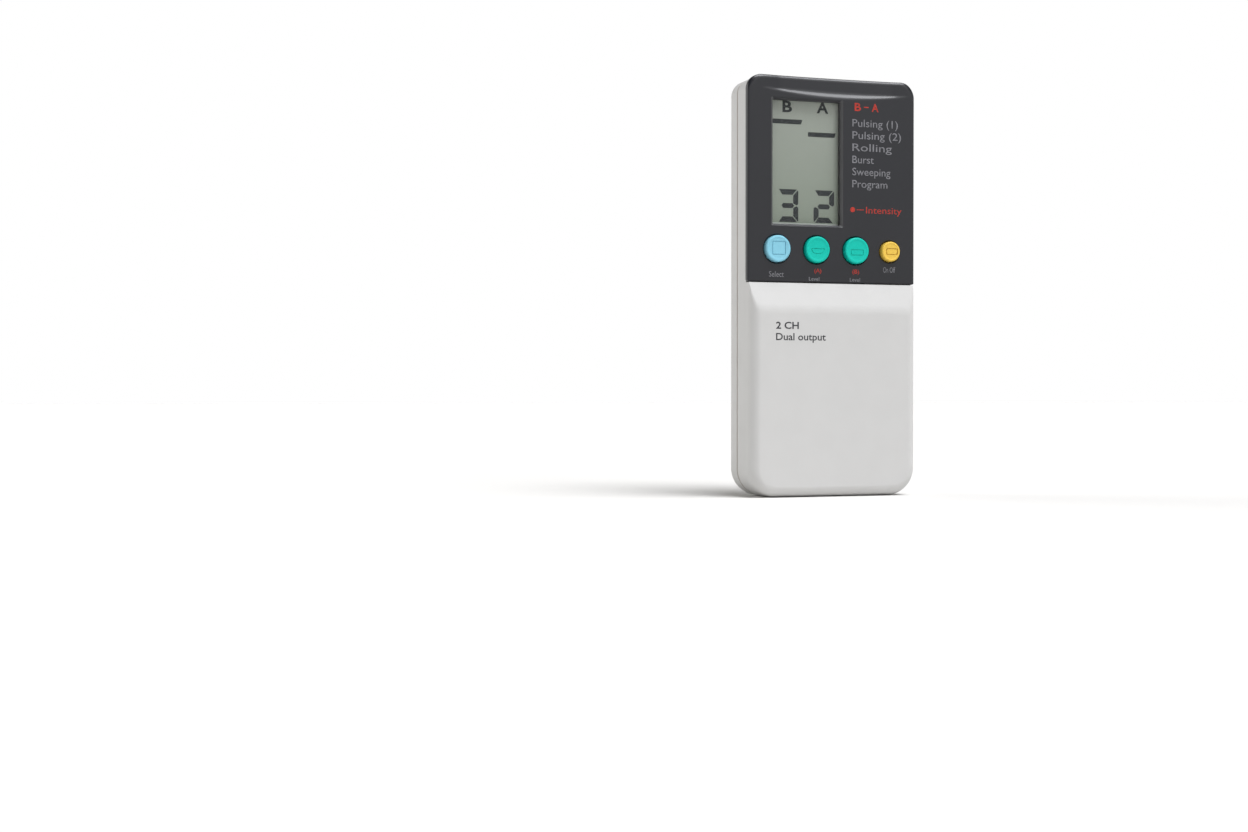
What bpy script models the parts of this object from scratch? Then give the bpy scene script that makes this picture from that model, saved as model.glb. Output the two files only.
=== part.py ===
"""Hand-held two-channel TENS unit, modelled as the separate pieces that it comes apart into.

Lengths are in millimetres until a mesh is made, where MM turns them into Blender's metres.
+Z runs up the unit, the display faces -Y, and +X is to the right seen from the front.
The origin is under the middle of the unit, at the bottom end that it stands on.
"""

import math

import bmesh
import bpy

MM = 0.001
GAP = 0.3  # clearance between two pieces that touch

# Driving dimensions of the case.
WIDTH = 60.0
HEIGHT = 137.0
DEPTH = 21.5
REAR_Y = DEPTH / 2
FRONT_Y = -DEPTH / 2  # flat of the proud lower front
BEZEL_Y = FRONT_Y + 2.6  # face of the dark display bezel
BEZEL_DEPTH = 1.8
BEZEL_OVERHANG = 0.3
BEZEL_Z = 69.6
SEAM_Y = 1.4
SEAM_GAP = 0.4
BOTTOM_RADIUS = 9.0
TOP_RADIUS = 5.0
FRONT_ROUNDING = 3.5
REAR_ROUNDING = 5.0
FRONT_WALL = 1.8
REAR_WALL = 2.6
BACK_WALL = 2.0
CORNER_STEPS = 5

HOUSING_X = WIDTH / 2 - BEZEL_OVERHANG
HOUSING_TOP = HEIGHT - BEZEL_OVERHANG
BEZEL_BACK_Y = BEZEL_Y + BEZEL_DEPTH
SEAT_Y = BEZEL_BACK_Y + GAP  # front face of the housing under the bezel
SEAT_WALL = 1.5
RAMP_FOOT_Z = 61.0
BAND_FOOT_Z = 131.3  # where the bezel's face starts to slope back to its top edge
BAND_DEPTH = 1.3

# Display: the opening in the bezel, and what stands behind it.
OPENING_X = (-21.0, 3.2)
OPENING_Z = (88.8, 129.2)
WINDOW_SETBACK = 0.5
WINDOW_THICKNESS = 1.0
LCD_MARGIN = 1.2
LCD_SETBACK = 2.8
LCD_THICKNESS = 2.2
COLLAR = 0.8  # wall of the frame behind the opening that hides the display's edge
LCD_FRONT_Y = BEZEL_Y + LCD_SETBACK
LCD_BACK_Y = LCD_FRONT_Y + LCD_THICKNESS

# Main board.
BOARD_Y = 0.0
BOARD_THICKNESS = 1.6
BOARD_BACK_Y = BOARD_Y + BOARD_THICKNESS
BOARD_X = 26.2
BOARD_Z = (68.0, 133.4)

# Keys: name, x of the centre, radius of the cap, cap colour.
KEY_Z = 80.6
KEY_PROUD = 1.4
KEY_CLEARANCE = 0.35
KEY_FLANGE = 0.6
KEY_FLANGE_DEPTH = 0.8
KEYS = (
    ("select", -19.7, 4.35, (0.24, 0.58, 0.76)),
    ("level_a", -5.7, 4.3, (0.0, 0.44, 0.33)),
    ("level_b", 8.4, 4.3, (0.0, 0.44, 0.33)),
    ("power", 20.8, 3.3, (0.86, 0.55, 0.07)),
)
SWITCH_SIDE = 6.0
SWITCH_HEIGHT = 2.0
PLUNGER_RADIUS = 1.6
PLUNGER_LENGTH = 1.9

# Battery compartment: four AAA cells side by side, turned head to tail.
CELL_RADIUS = 5.25
CELL_LENGTH = 44.5
CELL_NUB = 1.0
CELL_PITCH = 11.2
CELL_Y = 2.6
CELLS = (
    ("battery_cell_1", -1.5 * CELL_PITCH, 1),
    ("battery_cell_2", -0.5 * CELL_PITCH, -1),
    ("battery_cell_3", 0.5 * CELL_PITCH, 1),
    ("battery_cell_4", 1.5 * CELL_PITCH, -1),
)
WELL_X = 22.6
WELL_Z = (12.0, 62.5)
WELL_FLOOR_Y = -2.9
WELL_WALL = 2.0
WELL_FLOOR = 1.2
PLATE = 0.5
PLATE_REACH = 4.4
SPRING_LENGTH = 3.5
SPRING_WIRE = 0.3
SPRING_TURNS = 3

# Battery door: swings on two tabs at its lower edge.
DOOR_X = 23.6
DOOR_Z = (11.2, 65.7)
DOOR_THICKNESS = 1.7
DOOR_TAB_X = CELL_PITCH
DOOR_TAB_WIDTH = 4.0
DOOR_TAB_REACH = 2.3
DOOR_TAB_THICKNESS = 0.9
LEDGE_Y = REAR_Y - DOOR_THICKNESS - GAP
HINGE_Y = REAR_Y
HINGE_Z = DOOR_Z[0] - GAP

# Case screws, driven from the back, and board screws.
CASE_SCREWS = (("lower_left", -22.8, 7.4), ("lower_right", 22.8, 7.4),
               ("upper_left", -25.0, 127.0), ("upper_right", 25.0, 127.0))
BOSS_RADIUS = 2.5
REAR_BOSS_RADIUS = 2.7
BOSS_SPLIT_Y = 0.0
HEAD_RADIUS = 1.9
HEAD_HEIGHT = 1.5
HEAD_SEAT_Y = 6.6
SHANK_RADIUS = 0.95
CASE_PILOT = 1.15
CASE_CLEARANCE_HOLE = 1.25
BOARD_SCREWS = (("left", -24.6, 73.6), ("right", 24.6, 73.6), ("top", 17.0, 130.2))
POST_RADIUS = 2.2
BOARD_PILOT = 1.1
BOARD_HEAD_RADIUS = 1.9
BOARD_SHANK_RADIUS = 0.8

# Output jacks on the top end.
JACKS = (("b", -9.0), ("a", 9.0))
JACK_Y = 5.2
JACK_BODY = (6.6, 5.4, 11.0)
JACK_BARREL_RADIUS = 2.5
JACK_BORE_RADIUS = 1.9
JACK_SLEEVE_RADIUS = 1.6
JACK_PIN_RADIUS = 1.15

WHITE = (0.66, 0.665, 0.66)
DARK = (0.05, 0.051, 0.055)
STEEL = (0.62, 0.62, 0.64)
BLACK = (0.03, 0.03, 0.03)


def material(name, color, roughness=0.45, metallic=0.0, alpha=1.0):
    """The named Principled material, made on first use."""
    found = bpy.data.materials.get(name)
    if found:
        return found
    made = bpy.data.materials.new(name)
    made.use_nodes = True
    shader = made.node_tree.nodes["Principled BSDF"]
    shader.inputs["Base Color"].default_value = (*color, 1.0)
    shader.inputs["Roughness"].default_value = roughness
    shader.inputs["Metallic"].default_value = metallic
    shader.inputs["Alpha"].default_value = alpha
    return made


# ---- outlines and solids, all in millimetres ----


def arc(x, z, radius, start, end, steps=CORNER_STEPS):
    """Points along an arc from the start to the end angle in degrees, both included."""
    angles = [math.radians(start + (end - start) * k / steps) for k in range(steps + 1)]
    return [(x + radius * math.cos(a), z + radius * math.sin(a)) for a in angles]


def rounded_outline(x, z, bottom, top, steps=CORNER_STEPS):
    """A rectangle with its corners rounded, from the (low, high) pairs x and z."""
    (x0, x1), (z0, z1) = x, z
    return (
        arc(x1 - bottom, z0 + bottom, bottom, -90, 0, steps)
        + arc(x1 - top, z1 - top, top, 0, 90, steps)
        + arc(x0 + top, z1 - top, top, 90, 180, steps)
        + arc(x0 + bottom, z0 + bottom, bottom, 180, 270, steps)
    )


def housing_outline(inset):
    """The case's outline, moved in by a distance."""
    return rounded_outline(
        (-HOUSING_X + inset, HOUSING_X - inset),
        (inset, HOUSING_TOP - inset),
        max(BOTTOM_RADIUS - inset, 0.4),
        max(TOP_RADIUS - inset, 0.4),
    )


def loft(rings):
    """A closed solid through rings of points, each ring with as many points, its ends filled."""
    bm = bmesh.new()
    loops = [[bm.verts.new(point) for point in ring] for ring in rings]
    for first, second in zip(loops, loops[1:]):
        for i in range(len(first)):
            j = (i + 1) % len(first)
            bm.faces.new((first[i], first[j], second[j], second[i]))
    bm.faces.new(loops[0])
    bm.faces.new(loops[-1])
    bmesh.ops.recalc_face_normals(bm, faces=bm.faces)
    return bm


def prism(outline, y0, y1):
    """An outline in the XZ plane, drawn out along Y."""
    return loft([[(x, y, z) for x, z in outline] for y in (y0, y1)])


def side_prism(outline, x0, x1):
    """An outline of (y, z) points, drawn out along X."""
    return loft([[(x, y, z) for y, z in outline] for x in (x0, x1)])


def box(x, y, z):
    """A box from its (low, high) pairs."""
    return prism([(x[0], z[0]), (x[1], z[0]), (x[1], z[1]), (x[0], z[1])], *y)


def around(centre, size):
    """The (low, high) pair of a length around its middle."""
    return centre - size / 2, centre + size / 2


def widened(pair, by):
    """A (low, high) pair made longer at both ends."""
    return pair[0] - by, pair[1] + by


def turned(profile, centre, axis="y", segments=24):
    """A solid of revolution: (radius, position) pairs about an axis through a centre.

    The two numbers of the centre are the other two coordinates, in X, Y, Z order.
    """
    bm = bmesh.new()

    def place(radius, along, angle):
        a, b = radius * math.cos(angle), radius * math.sin(angle)
        if axis == "y":
            return centre[0] + a, along, centre[1] + b
        return centre[0] + a, centre[1] + b, along

    loops = []
    for radius, along in profile:
        count = segments if radius else 1
        angles = [2 * math.pi * k / segments for k in range(count)]
        loops.append([bm.verts.new(place(radius, along, angle)) for angle in angles])
    for first, second in zip(loops, loops[1:]):
        for i in range(segments):
            j = (i + 1) % segments
            ring = [first[i % len(first)], first[j % len(first)]]
            ring += [second[j % len(second)], second[i % len(second)]]
            bm.faces.new(list(dict.fromkeys(ring)))
    bmesh.ops.recalc_face_normals(bm, faces=bm.faces)
    return bm


def cylinder(radius, centre, low, high, axis="y", segments=24):
    return turned([(0, low), (radius, low), (radius, high), (0, high)], centre, axis, segments)


def edge_rounding(face_y, side, radius, steps=4):
    """(y, inset) pairs round an edge, from the face towards the side that lies +1 or -1 along Y."""
    angles = [math.radians(90 * k / steps) for k in range(steps + 1)]
    return [(face_y + side * radius * (1 - math.cos(a)), radius * (1 - math.sin(a))) for a in angles]


def together(*solids):
    """Several solids that don't meet, as one mesh."""
    whole = solids[0]
    for solid in solids[1:]:
        mesh = bpy.data.meshes.new("part")
        solid.to_mesh(mesh)
        solid.free()
        whole.from_mesh(mesh)
        bpy.data.meshes.remove(mesh)
    return whole


# ---- objects ----


def add_object(name, bm, look, origin=(0, 0, 0), smooth=True):
    """An object with its origin where asked, from a solid in millimetres."""
    bmesh.ops.translate(bm, verts=bm.verts, vec=[-value for value in origin])
    bmesh.ops.scale(bm, verts=bm.verts, vec=(MM, MM, MM))
    mesh = bpy.data.meshes.new(name)
    bm.to_mesh(mesh)
    bm.free()
    obj = bpy.data.objects.new(name, mesh)
    obj.location = [value * MM for value in origin]
    bpy.context.scene.collection.objects.link(obj)
    if look:
        mesh.materials.append(look)
    if smooth:
        mesh.shade_smooth()
        mesh.set_sharp_from_angle(angle=math.radians(35))
    return obj


def combine(obj, solid, operation):
    """Add or cut a solid, with a boolean that keeps it as a hidden helper."""
    helper = add_object(f"{obj.name}.helper", solid, None, smooth=False)
    helper.hide_render = True
    helper.display_type = "WIRE"
    modifier = obj.modifiers.new(operation.lower(), "BOOLEAN")
    modifier.operation = operation
    modifier.solver = "EXACT"
    modifier.object = helper


def add(obj, *solids):
    combine(obj, together(*solids), "UNION")


def cut(obj, *solids):
    combine(obj, together(*solids), "DIFFERENCE")


# ---- case ----


def front_housing():
    """The front shell: a seat for the bezel above, the proud ramp and front below."""
    rings = edge_rounding(FRONT_Y, 1, FRONT_ROUNDING) + [(SEAM_Y - SEAM_GAP / 2, 0)]
    shell = add_object(
        "front_housing",
        loft([[(x, y, z) for x, z in housing_outline(inset)] for y, inset in rings]),
        material("white_case", WHITE, 0.42),
    )
    ramp = (BEZEL_Z - RAMP_FOOT_Z) / (BEZEL_Y - FRONT_Y)
    ahead = FRONT_Y - 2
    seat = [
        (ahead, RAMP_FOOT_Z - 2 * ramp),
        (BEZEL_Y, BEZEL_Z),
        (SEAT_Y, BEZEL_Z),
        (SEAT_Y, HEIGHT + 2),
        (ahead, HEIGHT + 2),
    ]
    cut(shell, side_prism(seat, -WIDTH, WIDTH))
    inner = housing_outline(FRONT_WALL)
    cut(shell, prism(inner, SEAT_Y + SEAT_WALL, SEAM_Y + 2))
    lower_x = HOUSING_X - FRONT_WALL - 1
    lower = rounded_outline((-lower_x, lower_x), (FRONT_WALL + 1, RAMP_FOOT_Z - 2), 6.0, 1.0)
    cut(shell, prism(lower, FRONT_Y + FRONT_WALL, SEAT_Y + SEAT_WALL + 1))
    bosses = []
    for _, x, z in CASE_SCREWS:
        start = FRONT_Y + 1 if z < RAMP_FOOT_Z else SEAT_Y + 0.5
        bosses.append(cylinder(BOSS_RADIUS, (x, z), start, BOSS_SPLIT_Y - 0.2, segments=16))
    posts = [
        cylinder(POST_RADIUS, (x, z), SEAT_Y + 0.5, BOARD_Y - GAP, segments=16) for _, x, z in BOARD_SCREWS
    ]
    add(shell, *bosses, *posts)
    pilots = [
        cylinder(CASE_PILOT, (x, z), BOSS_SPLIT_Y - 4.2, BOSS_SPLIT_Y + 1, segments=12)
        for _, x, z in CASE_SCREWS
    ]
    board_pilots = [
        cylinder(BOARD_PILOT, (x, z), BOARD_Y - 3.8, BOARD_Y + 1, segments=12) for _, x, z in BOARD_SCREWS
    ]
    key_holes = [
        cylinder(radius + KEY_CLEARANCE, (x, KEY_Z), BEZEL_Y, SEAT_Y + SEAT_WALL + 1, segments=32)
        for _, x, radius, _ in KEYS
    ]
    margin = LCD_MARGIN + GAP
    behind = (BEZEL_Y, SEAT_Y + SEAT_WALL + 1)
    display_hole = box(widened(OPENING_X, margin), behind, widened(OPENING_Z, margin))
    cut(shell, *pilots, *board_pilots, *key_holes, display_hole)


def rear_housing():
    """The back shell, with its seam tongue, screw bosses and battery well."""
    front = SEAM_Y + SEAM_GAP / 2
    rings = [(y, inset) for y, inset in reversed(edge_rounding(REAR_Y, -1, REAR_ROUNDING, 5))]
    shell = add_object(
        "rear_housing",
        loft([[(x, y, z) for x, z in housing_outline(inset)] for y, inset in [(front, 0)] + rings]),
        material("white_case_back", WHITE, 0.42),
    )
    tongue = FRONT_WALL + GAP
    add(shell, prism(housing_outline(tongue), front - 1.2, front + 1))
    inside = edge_rounding(REAR_Y - BACK_WALL, -1, REAR_ROUNDING - BACK_WALL, 3)
    rings = [(front - 2, REAR_WALL)] + [(y, inset + REAR_WALL) for y, inset in reversed(inside)]
    cut(shell, loft([[(x, y, z) for x, z in housing_outline(inset)] for y, inset in rings]))
    wall = WELL_WALL
    well_x = (-WELL_X - wall, WELL_X + wall)
    well_z = (WELL_Z[0] - wall, WELL_Z[1] + wall)
    add(
        shell,
        box(well_x, (WELL_FLOOR_Y - WELL_FLOOR, REAR_Y - 1), well_z),
        *[cylinder(REAR_BOSS_RADIUS, (x, z), BOSS_SPLIT_Y + 0.1, REAR_Y - 1, segments=16)
          for name, x, z in CASE_SCREWS if name.startswith("upper")],
    )
    ledge_top = DOOR_Z[1] + GAP + 1.2
    add(shell, box(well_x, (LEDGE_Y - 1.5, REAR_Y - 0.9), (WELL_Z[1], ledge_top)))
    add(
        shell,
        *[cylinder(REAR_BOSS_RADIUS, (x, z), BOSS_SPLIT_Y + 0.1, REAR_Y - 1.1, segments=16)
          for name, x, z in CASE_SCREWS if name.startswith("lower")],
    )
    cut(shell, box((-WELL_X, WELL_X), (WELL_FLOOR_Y, REAR_Y + 1), WELL_Z))
    door = DOOR_X + GAP
    cut(shell, box((-door, door), (LEDGE_Y, REAR_Y + 1), (DOOR_Z[0] - GAP, DOOR_Z[1] + GAP)))
    notches = [
        box(around(side * DOOR_TAB_X, DOOR_TAB_WIDTH + 0.8), (6.2, LEDGE_Y + 0.01), (8.2, WELL_Z[0] + 1))
        for side in (-1, 1)
    ]
    lead_z = around(WELL_Z[0] + 1.1, 1.8)
    lead_holes = [box(around(side * (WELL_X + 1), 4), around(CELL_Y, 2.0), lead_z) for side in (-1, 1)]
    cut(shell, *notches, *lead_holes)
    bolt_holes = [
        cylinder(CASE_CLEARANCE_HOLE, (x, z), BOSS_SPLIT_Y - 1, REAR_Y, segments=12)
        for _, x, z in CASE_SCREWS
    ]
    cut(shell, *bolt_holes)
    cut(
        shell,
        *[cylinder(HEAD_RADIUS + GAP, (x, z), HEAD_SEAT_Y, REAR_Y + 1, segments=20)
          for _, x, z in CASE_SCREWS],
        *[cylinder(JACK_BARREL_RADIUS + GAP, (x, JACK_Y), HOUSING_TOP - 5, HEIGHT + 2, "z")
          for _, x in JACKS],
    )


def bezel_outline(inset):
    """The bezel's outline, moved in by a distance."""
    return rounded_outline(
        (-WIDTH / 2 + inset, WIDTH / 2 - inset),
        (BEZEL_Z + GAP + inset, HEIGHT - inset),
        0.8 - inset,
        TOP_RADIUS - inset,
    )


def display_bezel():
    """The dark panel over the upper front, sloping back at its top, with its window and key holes."""
    rings = edge_rounding(BEZEL_Y, 1, 0.5, 3) + [(BEZEL_BACK_Y, 0)]
    bezel = add_object(
        "display_bezel",
        loft([[(x, y, z) for x, z in bezel_outline(inset)] for y, inset in rings]),
        material("dark_bezel", DARK, 0.3),
    )
    ahead = BEZEL_Y - 1
    top = HEIGHT + 1
    slope = BAND_DEPTH * (top - BAND_FOOT_Z) / (HEIGHT - BAND_FOOT_Z)
    band = [(ahead, BAND_FOOT_Z), (BEZEL_Y, BAND_FOOT_Z), (BEZEL_Y + slope, top), (ahead, top)]
    cut(bezel, side_prism(band, -WIDTH, WIDTH))
    collar_end = LCD_FRONT_Y - GAP
    collar_y = (BEZEL_BACK_Y - 0.5, collar_end)
    add(bezel, box(widened(OPENING_X, COLLAR), collar_y, widened(OPENING_Z, COLLAR)))
    cut(
        bezel,
        prism(rounded_outline(OPENING_X, OPENING_Z, 0.4, 0.4, 2), ahead, collar_end + 1),
        *[cylinder(radius + KEY_CLEARANCE, (x, KEY_Z), ahead, BEZEL_BACK_Y + 1, segments=32)
          for _, x, radius, _ in KEYS],
    )


def display():
    """The clear window, the liquid-crystal cell, its reflector, holder and contact strips."""
    front = BEZEL_Y + WINDOW_SETBACK
    inside = rounded_outline(widened(OPENING_X, -GAP), widened(OPENING_Z, -GAP), 0.3, 0.3, 2)
    add_object(
        "display_window",
        prism(inside, front, front + WINDOW_THICKNESS),
        material("clear_window", (0.9, 0.92, 0.9), 0.08, alpha=0.2),
    )
    lcd_x = widened(OPENING_X, LCD_MARGIN)
    lcd_z = widened(OPENING_Z, LCD_MARGIN)
    add_object(
        "lcd_cell",
        box(lcd_x, (LCD_FRONT_Y, LCD_BACK_Y), lcd_z),
        material("lcd_glass", (0.28, 0.31, 0.26), 0.35),
    )
    strip_y = (LCD_BACK_Y + GAP, BOARD_Y - GAP)
    rim = 1.2
    holder = add_object(
        "lcd_holder",
        box(widened(lcd_x, rim), strip_y, widened(lcd_z, rim)),
        material("natural_nylon", (0.55, 0.55, 0.5), 0.6),
    )
    through = (strip_y[0] - 1, strip_y[1] + 1)
    cut(holder, box(lcd_x, through, lcd_z))
    notches = [cylinder(BOSS_RADIUS + GAP, (x, z), *through, segments=16) for _, x, z in CASE_SCREWS[2:]]
    cut(holder, *notches)
    strip = 2.0
    strip_x = (lcd_x[0] + 1, lcd_x[1] - 1)
    rubber = material("contact_rubber", (0.2, 0.2, 0.22), 0.8)
    lower_z = (lcd_z[0] + GAP, lcd_z[0] + GAP + strip)
    upper_z = (lcd_z[1] - GAP - strip, lcd_z[1] - GAP)
    add_object("contact_strip_lower", box(strip_x, strip_y, lower_z), rubber)
    add_object("contact_strip_upper", box(strip_x, strip_y, upper_z), rubber)
    clear = GAP + strip + GAP
    add_object(
        "lcd_reflector",
        box(strip_x, (strip_y[0], strip_y[0] + 0.4), (lcd_z[0] + clear, lcd_z[1] - clear)),
        material("reflector_sheet", (0.8, 0.8, 0.78), 0.3, 0.6),
    )


# ---- keys ----


def key(name, x, radius, color):
    """A round key with a raised rim and a flange that the housing retains, and its switch."""
    face = BEZEL_Y - KEY_PROUD
    flange = SEAT_Y + SEAT_WALL + GAP
    back = flange + KEY_FLANGE_DEPTH
    profile = [
        (0, face + 0.22),
        (radius * 0.62, face + 0.18),
        (radius * 0.8, face),
        (radius - 0.35, face + 0.08),
        (radius - 0.06, face + 0.45),
        (radius, face + 1.0),
        (radius, flange),
        (radius + KEY_FLANGE, flange),
        (radius + KEY_FLANGE, back),
        (0, back),
    ]
    origin = (x, face, KEY_Z)
    plastic = material(f"{name}_key_plastic", color, 0.4)
    add_object(f"{name}_key", turned(profile, (x, KEY_Z)), plastic, origin)
    switch_back = BOARD_Y - GAP
    switch_front = switch_back - SWITCH_HEIGHT
    body = add_object(
        f"{name}_switch_body",
        box(around(x, SWITCH_SIDE), (switch_front, switch_back), around(KEY_Z, SWITCH_SIDE)),
        material("switch_body", BLACK, 0.5),
    )
    cut(body, cylinder(PLUNGER_RADIUS + GAP, (x, KEY_Z), switch_front - 1, switch_back - 0.25, segments=16))
    tip = back + GAP
    add_object(
        f"{name}_switch_plunger",
        cylinder(PLUNGER_RADIUS, (x, KEY_Z), tip, tip + PLUNGER_LENGTH, segments=16),
        material("switch_plunger", (0.7, 0.68, 0.6), 0.5),
        origin,
    )


# ---- electronics ----


def main_board():
    board = add_object(
        "main_board",
        box((-BOARD_X, BOARD_X), (BOARD_Y, BOARD_BACK_Y), BOARD_Z),
        material("circuit_board", (0.03, 0.22, 0.08), 0.4),
    )
    through = (BOARD_Y - 1, BOARD_BACK_Y + 1)
    corners = [
        cylinder(REAR_BOSS_RADIUS + GAP, (x, z), *through, segments=16) for _, x, z in CASE_SCREWS[2:]
    ]
    holes = [cylinder(1.3, (x, z), *through, segments=12) for _, x, z in BOARD_SCREWS]
    cut(board, *corners, *holes)


def on_board(height):
    """The (low, high) pair along Y of a component of this height on the back of the board."""
    return BOARD_BACK_Y + GAP, BOARD_BACK_Y + GAP + height


def ferrite():
    return material("ferrite", (0.06, 0.06, 0.065), 0.6)


def components():
    add_object(
        "microcontroller",
        box(around(-11.0, 12), on_board(1.6), around(100.0, 12)),
        material("chip_body", BLACK, 0.5),
    )
    add_object(
        "crystal",
        prism(rounded_outline(around(-11.0, 10.4), around(88.5, 4.4), 2.15, 2.15, 4), *on_board(3.5)),
        material("crystal_can", STEEL, 0.3, 1.0),
    )
    low, high = on_board(4.2)
    buzzer_at = (12.5, 83.0)
    buzzer = add_object(
        "buzzer",
        cylinder(5.8, buzzer_at, low, high, segments=28),
        material("buzzer_case", BLACK, 0.5),
    )
    cut(buzzer, cylinder(1.0, buzzer_at, high - 1.5, high + 1, segments=12))
    low, high = on_board(5.0)
    rim, waist, flange = 4.0, 2.9, 0.8
    drum = [(0, low), (rim, low), (rim, low + flange), (waist, low + flange)]
    drum += [(waist, high - flange), (rim, high - flange), (rim, high), (0, high)]
    add_object("boost_inductor", turned(drum, (-20.0, 79.0), segments=20), ferrite())
    low, high = on_board(6.6)
    sleeve = material("capacitor_sleeve", (0.03, 0.05, 0.16), 0.35)
    radius, crimp = 3.0, 2.7
    can = [(0, low), (crimp, low), (radius, low + 0.6), (crimp, low + 1.2), (radius, low + 1.8)]
    can += [(radius, high - 0.4), (crimp, high), (0, high)]
    for name, x in (("left", -8.5), ("right", -1.0)):
        add_object(f"capacitor_{name}", turned(can, (x, 76.5), segments=20), sleeve)


def transformer(name, x, z):
    """A small ferrite core with two windows, and the wound bobbin on its middle leg."""
    low, high = on_board(6.4)
    core = add_object(
        f"transformer_core_{name}",
        box(around(x, 13.0), (low + 1, high - 1), around(z, 11.0)),
        ferrite(),
    )
    windows = [box(around(x + side * 3.6, 3.4), (low, high), around(z, 7.0)) for side in (-1, 1)]
    cut(core, *windows)
    coil = add_object(
        f"transformer_coil_{name}",
        prism(rounded_outline(around(x, 10.0), around(z, 6.4), 0.6, 0.6, 2), low, high),
        material("winding_tape", (0.75, 0.55, 0.1), 0.4),
    )
    cut(coil, box(around(x, 3.8 + 2 * GAP), (low + 1 - GAP, high - 1 + GAP), around(z, 9.0)))


def jack(name, x):
    """An output socket: a moulded body with a barrel through the top end, and its metal sleeve."""
    width, depth, length = JACK_BODY
    top = HOUSING_TOP - REAR_WALL - 1.2
    end = HOUSING_TOP - 0.2
    body = add_object(
        f"output_jack_{name}",
        box(around(x, width), around(JACK_Y, depth), (top - length, top)),
        material("jack_body", BLACK, 0.4),
    )
    add(body, cylinder(JACK_BARREL_RADIUS, (x, JACK_Y), top - 2, end, "z"))
    cut(body, cylinder(JACK_BORE_RADIUS, (x, JACK_Y), top - length + 1.2, end + 1, "z", 20))
    inner, outer = JACK_PIN_RADIUS, JACK_SLEEVE_RADIUS
    bottom = top - length + 1.5
    rim = end - 0.5
    sleeve = [(0, bottom), (outer, bottom), (outer, rim), (inner, rim), (inner, bottom + 1), (0, bottom + 1)]
    contact = material("contact_metal", STEEL, 0.25, 1.0)
    add_object(f"jack_sleeve_{name}", turned(sleeve, (x, JACK_Y), "z", 20), contact)


# ---- batteries ----


def cell(name, x, way):
    """An AAA cell standing in the well; way is 1 with its nub up and -1 with its nub down."""
    near = WELL_Z[1] - GAP - PLATE - GAP if way > 0 else WELL_Z[0] + GAP + PLATE + GAP
    steps = [(0, 0), (1.9, 0), (1.9, CELL_NUB), (CELL_RADIUS - 0.8, CELL_NUB), (CELL_RADIUS, CELL_NUB + 0.8)]
    steps += [(CELL_RADIUS, CELL_LENGTH - 0.4), (CELL_RADIUS - 0.4, CELL_LENGTH), (0, CELL_LENGTH)]
    profile = [(radius, near - way * along) for radius, along in steps]
    sleeve = material("cell_sleeve", (0.12, 0.12, 0.14), 0.3, 0.5)
    add_object(name, turned(profile, (x, CELL_Y), "z", 28), sleeve)


def plate(name, x0, x1, z_low):
    add_object(
        name,
        box((x0 - PLATE_REACH, x1 + PLATE_REACH), around(CELL_Y, 8.4), (z_low, z_low + PLATE)),
        material("plated_contact", STEEL, 0.25, 1.0),
    )


def spring(name, x, base_z, way):
    """A cone spring of round wire that stands on its plate and narrows towards the cell."""
    curve = bpy.data.curves.new(name, "CURVE")
    curve.dimensions = "3D"
    curve.bevel_depth = SPRING_WIRE * MM
    curve.bevel_resolution = 1
    curve.use_fill_caps = True
    per_turn = 14
    count = SPRING_TURNS * per_turn + 1
    path = curve.splines.new("POLY")
    path.points.add(count - 1)
    rise = SPRING_LENGTH - 2 * SPRING_WIRE
    for k, point in enumerate(path.points):
        part = k / (count - 1)
        angle = 2 * math.pi * SPRING_TURNS * part
        radius = 3.4 - 1.6 * part
        z = base_z + way * (SPRING_WIRE + rise * part)
        point.co = ((x + radius * math.cos(angle)) * MM, (CELL_Y + radius * math.sin(angle)) * MM, z * MM, 1)
    curve.materials.append(material("spring_wire", STEEL, 0.25, 1.0))
    bpy.context.scene.collection.objects.link(bpy.data.objects.new(name, curve))


def contacts():
    """The plates and springs that join the four cells in series."""
    low = WELL_Z[0] + GAP
    high = WELL_Z[1] - GAP - PLATE
    first, second, third, fourth = [x for _, x, _ in CELLS]
    plate("contact_plate_negative", first, first, low)
    plate("contact_plate_lower", second, third, low)
    plate("contact_plate_positive", fourth, fourth, low)
    plate("contact_plate_upper_left", first, second, high)
    plate("contact_plate_upper_right", third, fourth, high)
    spring("battery_spring_1", first, low + PLATE + GAP, 1)
    spring("battery_spring_2", second, high - GAP, -1)
    spring("battery_spring_3", third, low + PLATE + GAP, 1)
    spring("battery_spring_4", fourth, high - GAP, -1)


def lead(name, side, color):
    """An insulated wire from an end plate, out through the well's wall and up to the board."""
    wire = 0.5
    bend = 2.2
    x_plate = 1.5 * CELL_PITCH + PLATE_REACH + GAP
    x_run = WELL_X + WELL_WALL + 1.2
    z_plate = WELL_Z[0] + 1.0
    z_end = BOARD_Z[0] + 3.0
    points = [(x_plate, CELL_Y, z_plate), (x_run - bend, CELL_Y, z_plate)]
    points += [(x, CELL_Y, z) for x, z in arc(x_run - bend, z_plate + bend, bend, -90, 0, 6)][1:]
    rows = 12
    rise = z_end - z_plate - bend
    points += [(x_run, CELL_Y, z_plate + bend + rise * k / rows) for k in range(1, rows + 1)]
    curve = bpy.data.curves.new(name, "CURVE")
    curve.dimensions = "3D"
    curve.bevel_depth = wire * MM
    curve.bevel_resolution = 2
    curve.use_fill_caps = True
    path = curve.splines.new("POLY")
    path.points.add(len(points) - 1)
    for point, (x, y, z) in zip(path.points, points):
        point.co = (side * x * MM, y * MM, z * MM, 1)
    curve.materials.append(material(f"{name}_insulation", color, 0.5))
    bpy.context.scene.collection.objects.link(bpy.data.objects.new(name, curve))


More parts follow.
